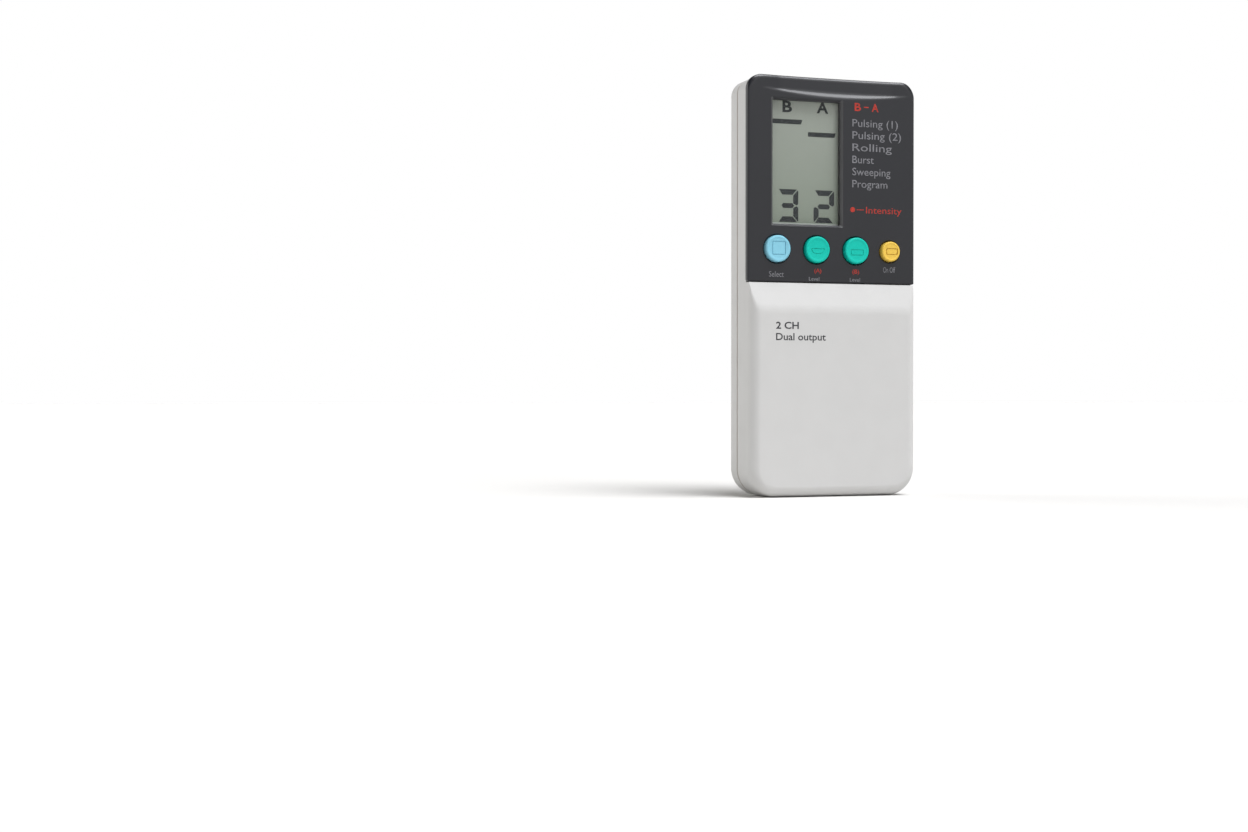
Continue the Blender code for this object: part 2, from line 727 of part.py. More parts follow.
def battery_door():
    """The door, with tabs at its lower edge, a springy tongue at its upper edge and a foam pad inside."""
    inner = REAR_Y - DOOR_THICKNESS
    origin = (0, HINGE_Y, HINGE_Z)
    door = add_object(
        "battery_door",
        prism(rounded_outline((-DOOR_X, DOOR_X), DOOR_Z, 0.8, 0.8, 2), inner, REAR_Y),
        material("white_door", WHITE, 0.42),
        origin,
    )
    tab_back = LEDGE_Y - GAP
    tab_front = tab_back - DOOR_TAB_THICKNESS
    root = DOOR_Z[0] + 0.3
    tip = DOOR_Z[0] - DOOR_TAB_REACH
    tab = [(inner + 0.5, root), (inner + 0.5, root + 1.8), (tab_front, root + 1.8)]
    tab += [(tab_front, tip), (tab_back, tip), (tab_back, root)]
    add(door, *[side_prism(tab, *around(side * DOOR_TAB_X, DOOR_TAB_WIDTH)) for side in (-1, 1)])
    top = DOOR_Z[1]
    slots = [box(around(side * 7.0, 0.8), (inner - 1, REAR_Y + 1), (top - 9, top + 1)) for side in (-1, 1)]
    grip = rounded_outline((-5.0, 5.0), (top - 7.5, top - 2.0), 1.0, 1.0, 3)
    cut(door, *slots, prism(grip, REAR_Y - 0.6, REAR_Y + 1))
    add_object(
        "door_foam",
        box((-18, 18), (CELL_Y + CELL_RADIUS + 0.2, inner - GAP), (32, 44)),
        material("foam", (0.08, 0.08, 0.08), 0.95),
        origin,
    )


# ---- fasteners ----


def screw(name, x, z, seat, tip, head, height, shank):
    """A cross-head screw along Y: its head's seat, its tip, and the sizes of head and shank."""
    top = seat + height
    profile = [(0, tip), (shank * 0.4, tip), (shank, tip + 1), (shank, seat)]
    profile += [(head, seat), (head, top - 0.5), (head * 0.7, top), (0, top)]
    steel = material("screw_steel", STEEL, 0.3, 1.0)
    made = add_object(name, turned(profile, (x, z), segments=16), steel)
    slot = head * 0.3
    reach = head * 1.1
    depth = (top - height * 0.5, top + 1)
    arm = [(slot, -slot), (reach, -slot), (reach, slot)]
    cross = []
    for _ in range(4):
        cross += [(x + dx / 2, z + dz / 2) for dx, dz in arm]
        arm = [(-dz, dx) for dx, dz in arm]
    cut(made, prism(cross, *depth))


def fasteners():
    case_sizes = (HEAD_SEAT_Y + GAP, BOSS_SPLIT_Y - 3.8, HEAD_RADIUS, HEAD_HEIGHT, SHANK_RADIUS)
    for name, x, z in CASE_SCREWS:
        screw(f"case_screw_{name}", x, z, *case_sizes)
    board_sizes = (BOARD_BACK_Y + GAP, BOARD_Y - 3.4, BOARD_HEAD_RADIUS, 1.3, BOARD_SHANK_RADIUS)
    for name, x, z in BOARD_SCREWS:
        screw(f"board_screw_{name}", x, z, *board_sizes)


def build():
    for old in list(bpy.data.objects):
        bpy.data.objects.remove(old, do_unlink=True)
    front_housing()
    rear_housing()
    display_bezel()
    display()
    for name, x, radius, color in KEYS:
        key(name, x, radius, color)
    main_board()
    components()
    transformer("b", -14.0, 114.0)
    transformer("a", 14.0, 114.0)
    for name, x in JACKS:
        jack(name, x)
    for name, x, way in CELLS:
        cell(name, x, way)
    contacts()
    lead("battery_lead_negative", -1, BLACK)
    lead("battery_lead_positive", 1, (0.6, 0.02, 0.02))
    battery_door()
    fasteners()


build()
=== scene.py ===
"""Looks of the hand-held two-channel TENS unit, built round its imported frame.

Outlines and profiles are in millimetres, and MM turns them into metres when a mesh is made.
Places come from the boxes of the frame's nodes. The display faces -Y and +Z runs up the unit.
"""

import math
import bmesh
import bpy
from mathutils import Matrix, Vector


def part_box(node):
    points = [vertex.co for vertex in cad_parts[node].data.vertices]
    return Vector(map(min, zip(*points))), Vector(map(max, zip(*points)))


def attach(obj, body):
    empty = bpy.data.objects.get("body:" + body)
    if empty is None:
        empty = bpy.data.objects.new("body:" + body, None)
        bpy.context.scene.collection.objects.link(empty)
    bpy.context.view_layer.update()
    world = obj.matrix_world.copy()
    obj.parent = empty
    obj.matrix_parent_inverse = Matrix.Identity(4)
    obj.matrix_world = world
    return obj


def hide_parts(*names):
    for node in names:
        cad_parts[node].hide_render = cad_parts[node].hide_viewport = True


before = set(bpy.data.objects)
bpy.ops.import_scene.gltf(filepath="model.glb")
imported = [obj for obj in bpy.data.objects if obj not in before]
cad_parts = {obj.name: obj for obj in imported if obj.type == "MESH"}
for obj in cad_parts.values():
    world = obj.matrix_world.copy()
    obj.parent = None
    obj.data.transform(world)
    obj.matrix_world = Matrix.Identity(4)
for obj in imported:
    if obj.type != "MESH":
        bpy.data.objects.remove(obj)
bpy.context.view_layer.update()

MM = 0.001
CASE = "case"


def span(node):
    """The node's (low, high) pairs along X, Y and Z, in millimetres."""
    low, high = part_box(node)
    return [(low[i] / MM, high[i] / MM) for i in range(3)]


def centre_xz(node):
    """The middle of a node, seen along Y."""
    x, _, z = span(node)
    return sum(x) / 2, sum(z) / 2


def centre_xy(node):
    """The middle of a node, seen along Z."""
    x, y, _ = span(node)
    return sum(x) / 2, sum(y) / 2


def radius_of(node):
    """Half of a round node's width."""
    low, high = span(node)[0]
    return (high - low) / 2


# ---- sizes read from the frame ----

FRONT_X, FRONT_Y, FRONT_Z = span("front_housing")
BEZEL_X, BEZEL_Y, BEZEL_Z = span("display_bezel")
WINDOW_X, WINDOW_Y, WINDOW_Z = span("display_window")
LCD_X, LCD_Y, LCD_Z = span("lcd_cell")
DOOR_X, _, DOOR_Z = span("battery_door")

HALF = FRONT_X[1]
TOP = FRONT_Z[1]
FACE = BEZEL_Y[0]
NOSE = FRONT_Y[0]
BACK = span("rear_housing")[1][1]
PANEL_TOP = BEZEL_Z[1]

# ---- driving dimensions, in millimetres ----

GAP = 0.3  # between two pieces that touch
PAST = 1  # how far a cutter runs past the face that it opens
SHARP_FROM = 32  # degrees between two faces whose edge stays sharp
WELD = 1e-6  # corners nearer than this are made one, in metres

# Case.
BOTTOM_RADIUS = 9.0
TOP_RADIUS = 5.0
FRONT_FILLET = 3.5
REAR_FILLET = 5.0
FRONT_WALL = 1.8
REAR_WALL = 2.6
BACK_WALL = 2.0
SEAM_FRONT = FRONT_Y[1]
SEAM_REAR = SEAM_FRONT + 0.4
SEAM_CHAMFER = 0.2
RAMP_FOOT = 61.0
RAMP_BLEND = 0.5

# Seat of the panel in the front shell.
PANEL_BACK = FACE + 1.8
SEAT = PANEL_BACK + GAP
SEAT_BACK = SEAT + 1.5
SEAT_Z = BEZEL_Z[0] - GAP
SEAT_STEP = 0.05  # height over which the ramp's top drops to the seat

# Screws, and their posts as (radius, radius of the pilot hole, where the post ends along Y).
CASE_SCREWS = tuple(f"case_screw_{end}_{side}" for end in ("lower", "upper") for side in ("left", "right"))
BOARD_SCREWS = tuple(f"board_screw_{place}" for place in ("left", "right", "top"))
CASE_POST = (2.5, 1.15, -0.2)
BOARD_POST = (2.2, 1.1, -GAP)
REAR_POST_RADIUS = 2.7

# Battery bay and its door.
BAY_X = (-22.6, 22.6)
BAY_Z = (12.0, 62.5)
BAY_FLOOR = -2.9
BAY_FLOOR_FRONT = -4.1
BAY_WALL = 2
DOOR_THICKNESS = 1.7
DOOR_BOTTOM = 11.2
TAB_X = 11.2

# Panel: the finger grip along its top, and its rolled edges.
GRIP_CENTRE = 1.5
GRIP_REACH = 26.0
GRIP_Z = 131.25
GRIP_LOW_X = 4
GRIP_BOW = 0.002
GRIP_SLOPE = 0.545
BAND_SLOPE = 0.025
BROW = 1.5
COVE = 1.7
PANEL_ROLL = 0.7
TOP_ROLL = 1.6
TOP_TURN = 51
FINE_ROWS_FROM = 128.8
LAST_ROWS = 0.2

# Display.
OPENING_X = (WINDOW_X[0] - GAP, WINDOW_X[1] + GAP)
OPENING_Z = (WINDOW_Z[0] - GAP, WINDOW_Z[1] + GAP)
OPENING_COLLAR = 0.8
OPENING_CHAMFER = 0.7
# How far round the display's opening the paler finish reaches; this finish is painted light against the
# opening's shade.
OPENING_LIGHTENED_REACH = 0.75
# Heights over which the painted highlight at the display's foot fades in.
LCD_HIGHLIGHT_EDGE = (89.50, 89.42)
LEVEL_BARS = (((-20.3, -9.5), 122.45), ((-7.5, 2.5), 118.6))
BAR_HALF = 0.75
DIGITS = ((-18.35, "abcdg"), (-5.45, "abdeg"))
DIGIT_BASE = 89.7
SEGMENT = 0.03
SEGMENT_FOOT = 0.004

# Printed legends.
INK = 0.03
INK_FOOT = 0.002
CAPITAL = 0.729
ROW_LEFT = 7.2
ROW_BASE = 121.5
ROW_PITCH = 4.0
ROWS = (("Pulsing (1)", 16.6), ("Pulsing (2)", 17.8), ("Rolling", 14.4), ("Burst", 7.8),
        ("Sweeping", 13.9), ("Program", 12.8))

# Keys.
KEYS = ("select", "level_a", "level_b", "power")
KEY_FLANGE = 0.6
KEY_FLANGE_DEPTH = 0.8
KEY_CLEARANCE = 0.35
KEY_SHOULDER = 0.5
GROOVE = 0.28
SIGN_RADIUS = 0.35
BOWL_RADIUS = 2.2
BOWL_SQUASH = 0.62
BOWL_LIP = 0.3

# Colours, and the white plastic's (colour, roughness, grain, depth, mottle).
WHITE = (0.49, 0.487, 0.48)
WHITE_FINISH = (WHITE, 0.42, 0.3, 0.006, 0.02)
GRIME = (0.36, 0.30, 0.25)
SPECK = (0.3, 0.27, 0.23)
DARK = (0.008, 0.0085, 0.012)
LCD_LIGHT = (0.35, 0.38, 0.335)
LCD_DEEP = (0.235, 0.275, 0.22)
# Painted highlight: the pale strip at the display's foot stands in for light caught at the bottom of the
# recess.
LCD_PAINTED_HIGHLIGHT = (0.42, 0.46, 0.42)
BLUE = (0.20, 0.48, 0.60)
GREEN = (0.0, 0.44, 0.35)
YELLOW = (0.70, 0.46, 0.07)

# Finishes inside the case, as (parts of node names, values for moulded).
INNER_FINISHES = (
    (("main_board",), ("board_green", (0.02, 0.16, 0.06), 0.35, 0.6, 0.01, 0.2)),
    (("lcd_holder", "_switch_plunger"), ("nylon_cream", (0.55, 0.53, 0.45), 0.5)),
    (("contact_strip",), ("strip_rubber", (0.12, 0.12, 0.13), 0.75, 0.4, 0.01)),
    (("boost_inductor", "transformer_core"), ("ferrite_grey", (0.05, 0.05, 0.055), 0.6, 0.5, 0.02, 0.2)),
    (("transformer_coil",), ("winding_tape", (0.7, 0.48, 0.08), 0.4, 1.2, 0.02, 0.15)),
    (("capacitor_",), ("capacitor_blue", (0.02, 0.04, 0.14), 0.3, 0.8, 0.004, 0.1)),
    (("lcd_reflector",), ("reflector_silver", (0.75, 0.75, 0.73), 0.3, 1.5, 0.004, 0.05)),
    (("door_foam",), ("foam_dark", (0.05, 0.05, 0.052), 0.95, 0.7, 0.15, 0.4)),
    (("battery_lead_positive",), ("lead_red_pvc", (0.5, 0.02, 0.02), 0.4)),
)

# Sockets of the Mix node when it mixes colours.
MIX_FACTOR, MIX_FIRST, MIX_SECOND, MIX_RESULT = 0, 6, 7, 2


# ---- outlines and solids, in millimetres ----


def arc(x, z, radius, start, end, steps):
    """Points along an arc between two angles in degrees, both included."""
    angles = [math.radians(start + (end - start) * k / steps) for k in range(steps + 1)]
    return [(x + radius * math.cos(a), z + radius * math.sin(a)) for a in angles]


def rounded(x, z, bottom, top, steps=10):
    """A rectangle with rounded corners, from the (low, high) pairs x and z."""
    (x0, x1), (z0, z1) = x, z
    return (
        arc(x1 - bottom, z0 + bottom, bottom, -90, 0, steps)
        + arc(x1 - top, z1 - top, top, 0, 90, steps)
        + arc(x0 + top, z1 - top, top, 90, 180, steps)
        + arc(x0 + bottom, z0 + bottom, bottom, 180, 270, steps)
    )


def grown(pair, by):
    """A (low, high) pair made longer at both ends."""
    return pair[0] - by, pair[1] + by


def rounded_frame(x, z, radius, steps):
    """A function that gives a rounded rectangle's outline for an inset."""

    def outline_at(inset):
        return rounded(grown(x, -inset), grown(z, -inset), radius, radius, steps)

    return outline_at


def case_outline(inset):
    """The case seen from the front, for an inset."""
    bottom, top = max(BOTTOM_RADIUS - inset, 0.3), max(TOP_RADIUS - inset, 0.3)
    return rounded(grown((-HALF, HALF), -inset), grown((0, TOP), -inset), bottom, top, 20)


def spread_count(start, end, count):
    """Numbers from start to end in this many equal steps."""
    return [start + (end - start) * k / count for k in range(count + 1)]


def spread(start, end, step):
    """Evenly spaced numbers about a step apart, both ends included."""
    return spread_count(start, end, max(1, round((end - start) / step)))


def quarter_turn(radius, steps):
    """Distances from an edge to the points of a quarter round, evenly turned."""
    return [radius * (1 - math.cos(math.radians(90 * k / steps))) for k in range(steps + 1)]


def across(half, radius, steps, count):
    """Places along a row that ends in a quarter round at both sides."""
    turn = quarter_turn(radius, steps)
    inner = spread_count(-half + radius, half - radius, count)
    return [-half + t for t in turn] + inner[1:-1] + [half - t for t in reversed(turn)]


def closed(bm):
    """The solid, with its faces turned outwards."""
    bmesh.ops.recalc_face_normals(bm, faces=bm.faces)
    return bm


def skin(bm, first, second):
    """Faces between two closed rings of corners."""
    for i in range(len(first)):
        j = (i + 1) % len(first)
        bm.faces.new((first[i], first[j], second[j], second[i]))


def sheet(bm, grid):
    """Faces over a grid of corners; gives back the corners round its rim."""
    for low, high in zip(grid, grid[1:]):
        for i in range(len(low) - 1):
            bm.faces.new((low[i], low[i + 1], high[i + 1], high[i]))
    right = [row[-1] for row in grid[1:]]
    left = [row[0] for row in grid[-2:0:-1]]
    return grid[0] + right + grid[-1][-2::-1] + left


def loft(rings):
    """A closed solid through rings of points, each as long as the next, its ends filled."""
    bm = bmesh.new()
    loops = [[bm.verts.new(point) for point in ring] for ring in rings]
    for first, second in zip(loops, loops[1:]):
        skin(bm, first, second)
    bm.faces.new(loops[0])
    bm.faces.new(loops[-1])
    return closed(bm)


def prism(outline, y0, y1):
    """An outline of (x, z) points, drawn out along Y."""
    return loft([[(x, y, z) for x, z in outline] for y in (y0, y1)])


def stepped(outline_at, steps):
    """A solid from (y, inset) steps, where outline_at gives the outline for an inset."""
    return loft([[(x, y, z) for x, z in outline_at(inset)] for y, inset in steps])


def side_prism(outline, x0, x1):
    """An outline of (y, z) points, drawn out along X."""
    return loft([[(x, y, z) for y, z in outline] for x in (x0, x1)])


def box(x, y, z):
    """A block from its (low, high) pairs."""
    return prism([(x[0], z[0]), (x[1], z[0]), (x[1], z[1]), (x[0], z[1])], *y)


def around(centre, size):
    """A (low, high) pair of this size round a centre."""
    return centre - size / 2, centre + size / 2


def turned(profile, centre, axis="y", segments=48):
    """A solid of revolution from (radius, position) pairs about an axis through a centre."""
    bm = bmesh.new()

    def place(radius, along, angle):
        a, b = radius * math.cos(angle), radius * math.sin(angle)
        if axis == "y":
            return centre[0] + a, along, centre[1] + b
        return centre[0] + a, centre[1] + b, along

    loops = []
    for radius, along in profile:
        count = segments if radius else 1
        angles = [2 * math.pi * k / segments for k in range(count)]
        loops.append([bm.verts.new(place(radius, along, angle)) for angle in angles])
    for first, second in zip(loops, loops[1:]):
        for i in range(segments):
            j = (i + 1) % segments
            ring = [first[i % len(first)], first[j % len(first)]]
            ring += [second[j % len(second)], second[i % len(second)]]
            bm.faces.new(list(dict.fromkeys(ring)))
    return closed(bm)


def cylinder(radius, centre, low, high, segments=48):
    """A round bar along Y, from low to high."""
    return turned([(0, low), (radius, low), (radius, high), (0, high)], centre, segments=segments)


def rear_edge(back, radius, steps):
    """(y, inset) steps round the edge of a rear face, ending on the face."""
    angles = [math.radians(90 * k / steps) for k in range(steps, -1, -1)]
    return [(back - radius * (1 - math.cos(a)), radius * (1 - math.sin(a))) for a in angles]


def as_mesh(name, solid):
    """A mesh of the solid, which is freed."""
    mesh = bpy.data.meshes.new(name)
    solid.to_mesh(mesh)
    solid.free()
    return mesh


def in_metres(name, solid):
    """A mesh of a solid that is in millimetres."""
    bmesh.ops.scale(solid, verts=solid.verts, vec=(MM, MM, MM))
    return as_mesh(name, solid)


def placed(name, data):
    """A new object in the scene."""
    obj = bpy.data.objects.new(name, data)
    bpy.context.scene.collection.objects.link(obj)
    return obj


def baked(obj):
    """The object's shape, with its modifiers applied, as a new mesh."""
    return bpy.data.meshes.new_from_object(obj.evaluated_get(bpy.context.evaluated_depsgraph_get()))


def together(*solids):
    """Several solids that don't meet, as one."""
    whole = solids[0]
    for solid in solids[1:]:
        mesh = as_mesh("part", solid)
        whole.from_mesh(mesh)
        bpy.data.meshes.remove(mesh)
    return whole


def finish(mesh, look):
    """Makes this the mesh's only material."""
    mesh.materials.clear()
    mesh.materials.append(look)


def smooth(mesh):
    """Smooth shading that keeps the sharp edges sharp."""
    mesh.shade_smooth()
    mesh.set_sharp_from_angle(angle=math.radians(SHARP_FROM))


def add(name, solid, look, stands_for=(), body=CASE):
    """A piece of the object from a solid in millimetres, riding on its body."""
    mesh = in_metres(name, solid)
    obj = placed(name, mesh)
    finish(mesh, look)
    smooth(mesh)
    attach(obj, body)
    if stands_for:
        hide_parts(*stands_for)
    return obj


def weld(mesh):
    """Merges corners that nearly coincide, which would leave slits in the mesh."""
    bm = bmesh.new()
    bm.from_mesh(mesh)
    bmesh.ops.remove_doubles(bm, verts=bm.verts, dist=WELD)
    bmesh.ops.dissolve_degenerate(bm, edges=bm.edges, dist=WELD)
    bm.to_mesh(mesh)
    bm.free()


def combine(obj, operation, solids):
    """Adds or cuts closed solids with a boolean, and applies it at once."""
    mesh = in_metres("tool", together(*solids))
    tool = placed("tool", mesh)
    modifier = obj.modifiers.new("tool", "BOOLEAN")
    modifier.operation = operation
    modifier.object = tool
    modifier.solver = "MANIFOLD"
    done = baked(obj)
    weld(done)
    obj.modifiers.clear()
    old = obj.data
    obj.data = done
    done.name = obj.name
    finish(done, old.materials[0])
    done.polygons.foreach_set("material_index", [0] * len(done.polygons))
    bpy.data.meshes.remove(old)
    bpy.data.objects.remove(tool)
    bpy.data.meshes.remove(mesh)
    smooth(done)


def even_shading(obj):
    """Lets the large faces set the normals, so that flat areas stay flat beside rounded edges."""
    modifier = obj.modifiers.new("even_shading", "WEIGHTED_NORMAL")
    modifier.keep_sharp = True


def join(obj, *solids):
    """Adds closed solids to a piece."""
    combine(obj, "UNION", solids)


def cut(obj, *solids):
    """Cuts closed solids out of a piece."""
    combine(obj, "DIFFERENCE", solids)


# ---- materials ----


class Look:
    """A Principled material that is built up from procedural layers."""

    def __init__(self, name, color, roughness, metallic=0.0):
        self.material = bpy.data.materials.new(name)
        self.material.use_nodes = True
        self.nodes = self.material.node_tree.nodes
        self.links = self.material.node_tree.links
        self.shader = self.nodes["Principled BSDF"]
        self.tune(Base_Color=(*color, 1), Roughness=roughness, Metallic=metallic)
        self.color = color
        self.place = self.nodes.new("ShaderNodeTexCoord").outputs["Object"]

    def tune(self, node=None, **values):
        """Sets inputs of the shader, or of a node; a _ stands for a space in their names."""
        for name, value in values.items():
            (node or self.shader).inputs[name.replace("_", " ")].default_value = value
        return self

    def noise(self, size, detail=3.0, stretch=None):
        """Noise whose features are about this many millimetres across."""
        node = self.nodes.new("ShaderNodeTexNoise")
        self.tune(node, Scale=1 / (size * MM), Detail=detail)
        place = self.place
        if stretch:
            mapping = self.nodes.new("ShaderNodeMapping")
            self.tune(mapping, Scale=stretch)
            self.links.new(place, mapping.inputs["Vector"])
            place = mapping.outputs["Vector"]
        self.links.new(place, node.inputs["Vector"])
        return node.outputs["Fac"]

    def ramp(self, value, low, high, start, end):
        """Maps the value's range low..high onto start..end, clamped."""
        node = self.nodes.new("ShaderNodeMapRange")
        self.links.new(value, node.inputs["Value"])
        self.tune(node, From_Min=low, From_Max=high, To_Min=start, To_Max=end)
        return node.outputs["Result"]

    def arithmetic(self, operation, first, second):
        """Works on two values, each a number or a socket."""
        node = self.nodes.new("ShaderNodeMath")
        node.operation = operation
        for socket, value in zip(node.inputs, (first, second)):
            if isinstance(value, (int, float)):
                socket.default_value = value
            else:
                self.links.new(value, socket)
        return node.outputs["Value"]

    def axis(self, name):
        """One of the piece's own coordinates, in metres."""
        node = self.nodes.new("ShaderNodeSeparateXYZ")
        self.links.new(self.place, node.inputs["Vector"])
        return node.outputs[name]

    def tint(self, mask, color):
        """Mixes a colour in where the mask is 1."""
        node = self.nodes.new("ShaderNodeMix")
        node.data_type = "RGBA"
        under = self.shader.inputs["Base Color"]
        if under.is_linked:
            self.links.new(under.links[0].from_socket, node.inputs[MIX_FIRST])
        else:
            node.inputs[MIX_FIRST].default_value = (*self.color, 1)
        node.inputs[MIX_SECOND].default_value = (*color, 1)
        self.links.new(mask, node.inputs[MIX_FACTOR])
        self.links.new(node.outputs[MIX_RESULT], under)
        return self

    def mottle(self, size, amount):
        """Colour that wanders lighter and darker by a share of itself."""
        darker = [channel * (1 - amount) for channel in self.color]
        return self.tint(self.ramp(self.noise(size), 0.35, 0.65, 0, 1), darker)

    def gloss(self, size, low, high, stretch=None):
        """Roughness that wanders between two values."""
        value = self.ramp(self.noise(size, stretch=stretch), 0.3, 0.7, low, high)
        self.links.new(value, self.shader.inputs["Roughness"])
        return self

    def bump(self, height, depth):
        """Relief of this depth in millimetres from a 0..1 height."""
        node = self.nodes.new("ShaderNodeBump")
        self.tune(node, Distance=depth * MM, Strength=1.0)
        self.links.new(height, node.inputs["Height"])
        under = self.shader.inputs["Normal"]
        if under.is_linked:
            self.links.new(under.links[0].from_socket, node.inputs["Normal"])
        self.links.new(node.outputs["Normal"], under)
        return self

    def grain(self, size, depth):
        """Fine even relief, in millimetres."""
        return self.bump(self.noise(size, 2.0), depth)


def moulded(name, color, roughness, grain=0.25, depth=0.004, mottle=0.03):
    """Injection-moulded plastic: a fine spark-eroded grain, and faint clouds in colour and gloss."""
    look = Look(name, color, roughness)
    look.mottle(9.0, mottle)
    look.gloss(6.0, roughness - 0.05, roughness + 0.05)
    return look.grain(grain, depth)


def white_plastic(name):
    """Off-white casing with seam grime and a few specks of dirt."""
    look = moulded(name, *WHITE_FINISH)
    seam = (SEAM_FRONT + SEAM_REAR) / 2 * MM
    from_seam = look.arithmetic("ABSOLUTE", look.arithmetic("SUBTRACT", look.axis("Y"), seam), 0)
    look.tint(look.ramp(from_seam, 0.2 * MM, 0.5 * MM, 0.75, 0.0), GRIME)
    specks = look.nodes.new("ShaderNodeTexVoronoi")
    look.tune(specks, Scale=1 / (13 * MM))
    look.links.new(look.place, specks.inputs["Vector"])
    spot = look.ramp(specks.outputs["Distance"], 0.012, 0.02, 0.55, 0)
    chosen = look.ramp(look.noise(17.0, 0), 0.56, 0.57, 0, 1)
    look.tint(look.arithmetic("MULTIPLY", spot, chosen), SPECK)
    return look.material


def dark_panel():
    """The panel's charcoal plastic, smooth and softly glossy."""
    look = Look("panel_charcoal", DARK, 0.3)
    look.mottle(30.0, 0.12)
    look.gloss(25.0, 0.28, 0.32)
    look.tune(Specular_IOR_Level=0.45)
    return look.grain(0.3, 0.0005).material


def lightened_opening_wall():
    """The panel's plastic inside the display's opening: matt, and painted paler to stand in for light on
    the shaded walls of the recess.
    """
    # Painted light: the pale colour lifts the shade on the opening's walls; the matt roughness is the real
    # finish.
    look = Look("panel_opening_matt_painted_light", (0.06, 0.06, 0.063), 0.6)
    look.mottle(6.0, 0.15)
    return look.grain(0.3, 0.004).material


def key_plastic(name, color):
    """Coloured cap plastic with a dull skin."""
    look = moulded(name, color, 0.5, 0.3, 0.003, 0.05)
    look.tune(Specular_IOR_Level=0.2)
    return look.material


def metal(name, color, roughness, stretch=(1, 1, 12)):
    """Bare metal with drawn or tumbled marks."""
    look = Look(name, color, roughness, 1.0)
    look.gloss(0.8, roughness - 0.08, roughness + 0.1, stretch)
    return look.bump(look.noise(0.4, 2.0, stretch), 0.002).material


def clear_plastic():
    """The display's window: nearly clear, with a soft reflection."""
    look = Look("window_acrylic", (0.02, 0.02, 0.02), 0.06)
    look.tune(Alpha=0.08)
    look.gloss(14.0, 0.04, 0.1)
    return look.material


def lcd_face():
    """Grey-green display: darker towards the bottom, with a painted highlight at its foot (a pale strip for
    the light that the bottom of the recess catches) and a fine grain.
    """
    look = Look("lcd_grey_green", LCD_LIGHT, 0.5)
    height = look.axis("Z")
    look.tint(look.ramp(height, OPENING_Z[1] * MM, OPENING_Z[0] * MM, 0, 1), LCD_DEEP)
    # Painted highlight: a pale strip along the foot, for the light that the bottom of the recess catches.
    highlight_from, highlight_to = LCD_HIGHLIGHT_EDGE
    look.tint(look.ramp(height, highlight_from * MM, highlight_to * MM, 0, 1), LCD_PAINTED_HIGHLIGHT)
    look.gloss(5.0, 0.45, 0.55)
    return look.grain(0.2, 0.001).material


def ink(name, color):
    """Screen-printed ink, dull and slightly uneven."""
    look = Look(name, color, 0.55)
    look.tune(Specular_IOR_Level=0.25)
    look.mottle(0.8, 0.25)
    return look.grain(0.15, 0.002).material


# ---- white case ----


def edge_distance(x, z):
    """How far a point of the front lies inside the case's outline."""
    side, low = HALF - abs(x), z
    if side < BOTTOM_RADIUS and low < BOTTOM_RADIUS:
        return BOTTOM_RADIUS - math.hypot(BOTTOM_RADIUS - side, BOTTOM_RADIUS - low)
    return min(side, low)


def half_width(z):
    """Half the case's width at a height."""
    if z < BOTTOM_RADIUS:
        return HALF - BOTTOM_RADIUS + math.sqrt(BOTTOM_RADIUS**2 - (BOTTOM_RADIUS - z) ** 2)
    above = z - (TOP - TOP_RADIUS)
    if above > 0:
        return HALF - TOP_RADIUS + math.sqrt(max(TOP_RADIUS**2 - above**2, 0))
    return HALF


def front_depth(x, z):
    """The proud lower front: its rounded edges, cut by the ramp that rises to the panel."""
    reach = min(max(edge_distance(x, z), 0), FRONT_FILLET)
    fillet = NOSE + FRONT_FILLET - math.sqrt(FRONT_FILLET**2 - (FRONT_FILLET - reach) ** 2)
    ramp = NOSE + (z - RAMP_FOOT) * (FACE - NOSE) / (SEAT_Z - RAMP_FOOT)
    share = min(max(0.5 + 0.5 * (ramp - fillet) / RAMP_BLEND, 0), 1)
    return fillet + (ramp - fillet) * share + RAMP_BLEND * share * (1 - share)


def front_rows():
    """(height, behind the panel) of the rows of the front's grid, closest where the surface turns."""
    rows = quarter_turn(FRONT_FILLET, 16) + spread(FRONT_FILLET, 10, 0.5)[1:]
    rows += spread(10, RAMP_FOOT - 3, 6)[1:]
    rows += spread(RAMP_FOOT - 3, RAMP_FOOT + 3, 0.2)[1:] + spread(RAMP_FOOT + 3, SEAT_Z, 0.4)[1:]
    corner = [TOP - TOP_RADIUS + TOP_RADIUS * math.sin(math.radians(90 * k / 16)) for k in range(17)]
    upper = spread(SEAT_Z + SEAT_STEP, TOP - TOP_RADIUS, 8) + corner[1:]
    return [(z, False) for z in rows] + [(z, True) for z in upper]


def front_shell_solid():
    """The front shell as a closed block: a grid over its face, drawn back to the seam."""
    bm = bmesh.new()
    grid = []
    for z, behind_panel in front_rows():
        xs = across(half_width(z), FRONT_FILLET, 16, 40)
        depths = [SEAT if behind_panel else front_depth(x, z) for x in xs]
        grid.append([bm.verts.new((x, y, z)) for x, y in zip(xs, depths)])
    rim = sheet(bm, grid)
    ring = rim
    for depth, inset in ((SEAM_FRONT - SEAM_CHAMFER, 0), (SEAM_FRONT, SEAM_CHAMFER)):
        moved = [bm.verts.new(pulled_in(v.co, inset, depth)) for v in rim]
        skin(bm, ring, moved)
        ring = moved
    bm.faces.new(ring)
    closed(bm)
    # Each flat area becomes one face, so that later cuts meet few coplanar faces.
    bmesh.ops.dissolve_limit(bm, angle_limit=math.radians(0.02), verts=bm.verts, edges=bm.edges)
    return bm


def pulled_in(point, inset, depth):
    """A point of the case's outline moved inwards, square to the outline, at another depth."""
    x, z = point.x, point.z
    radius = BOTTOM_RADIUS if z < TOP / 2 else TOP_RADIUS
    centre_x = math.copysign(HALF - radius, x)
    centre_z = radius if z < TOP / 2 else TOP - radius
    away = Vector((
        x - centre_x if abs(x) > abs(centre_x) else 0,
        z - centre_z if (z < centre_z) == (z < TOP / 2) else 0,
    ))
    if away.length > 1e-6:
        away.normalize()
    return x - away.x * inset, depth, z - away.y * inset


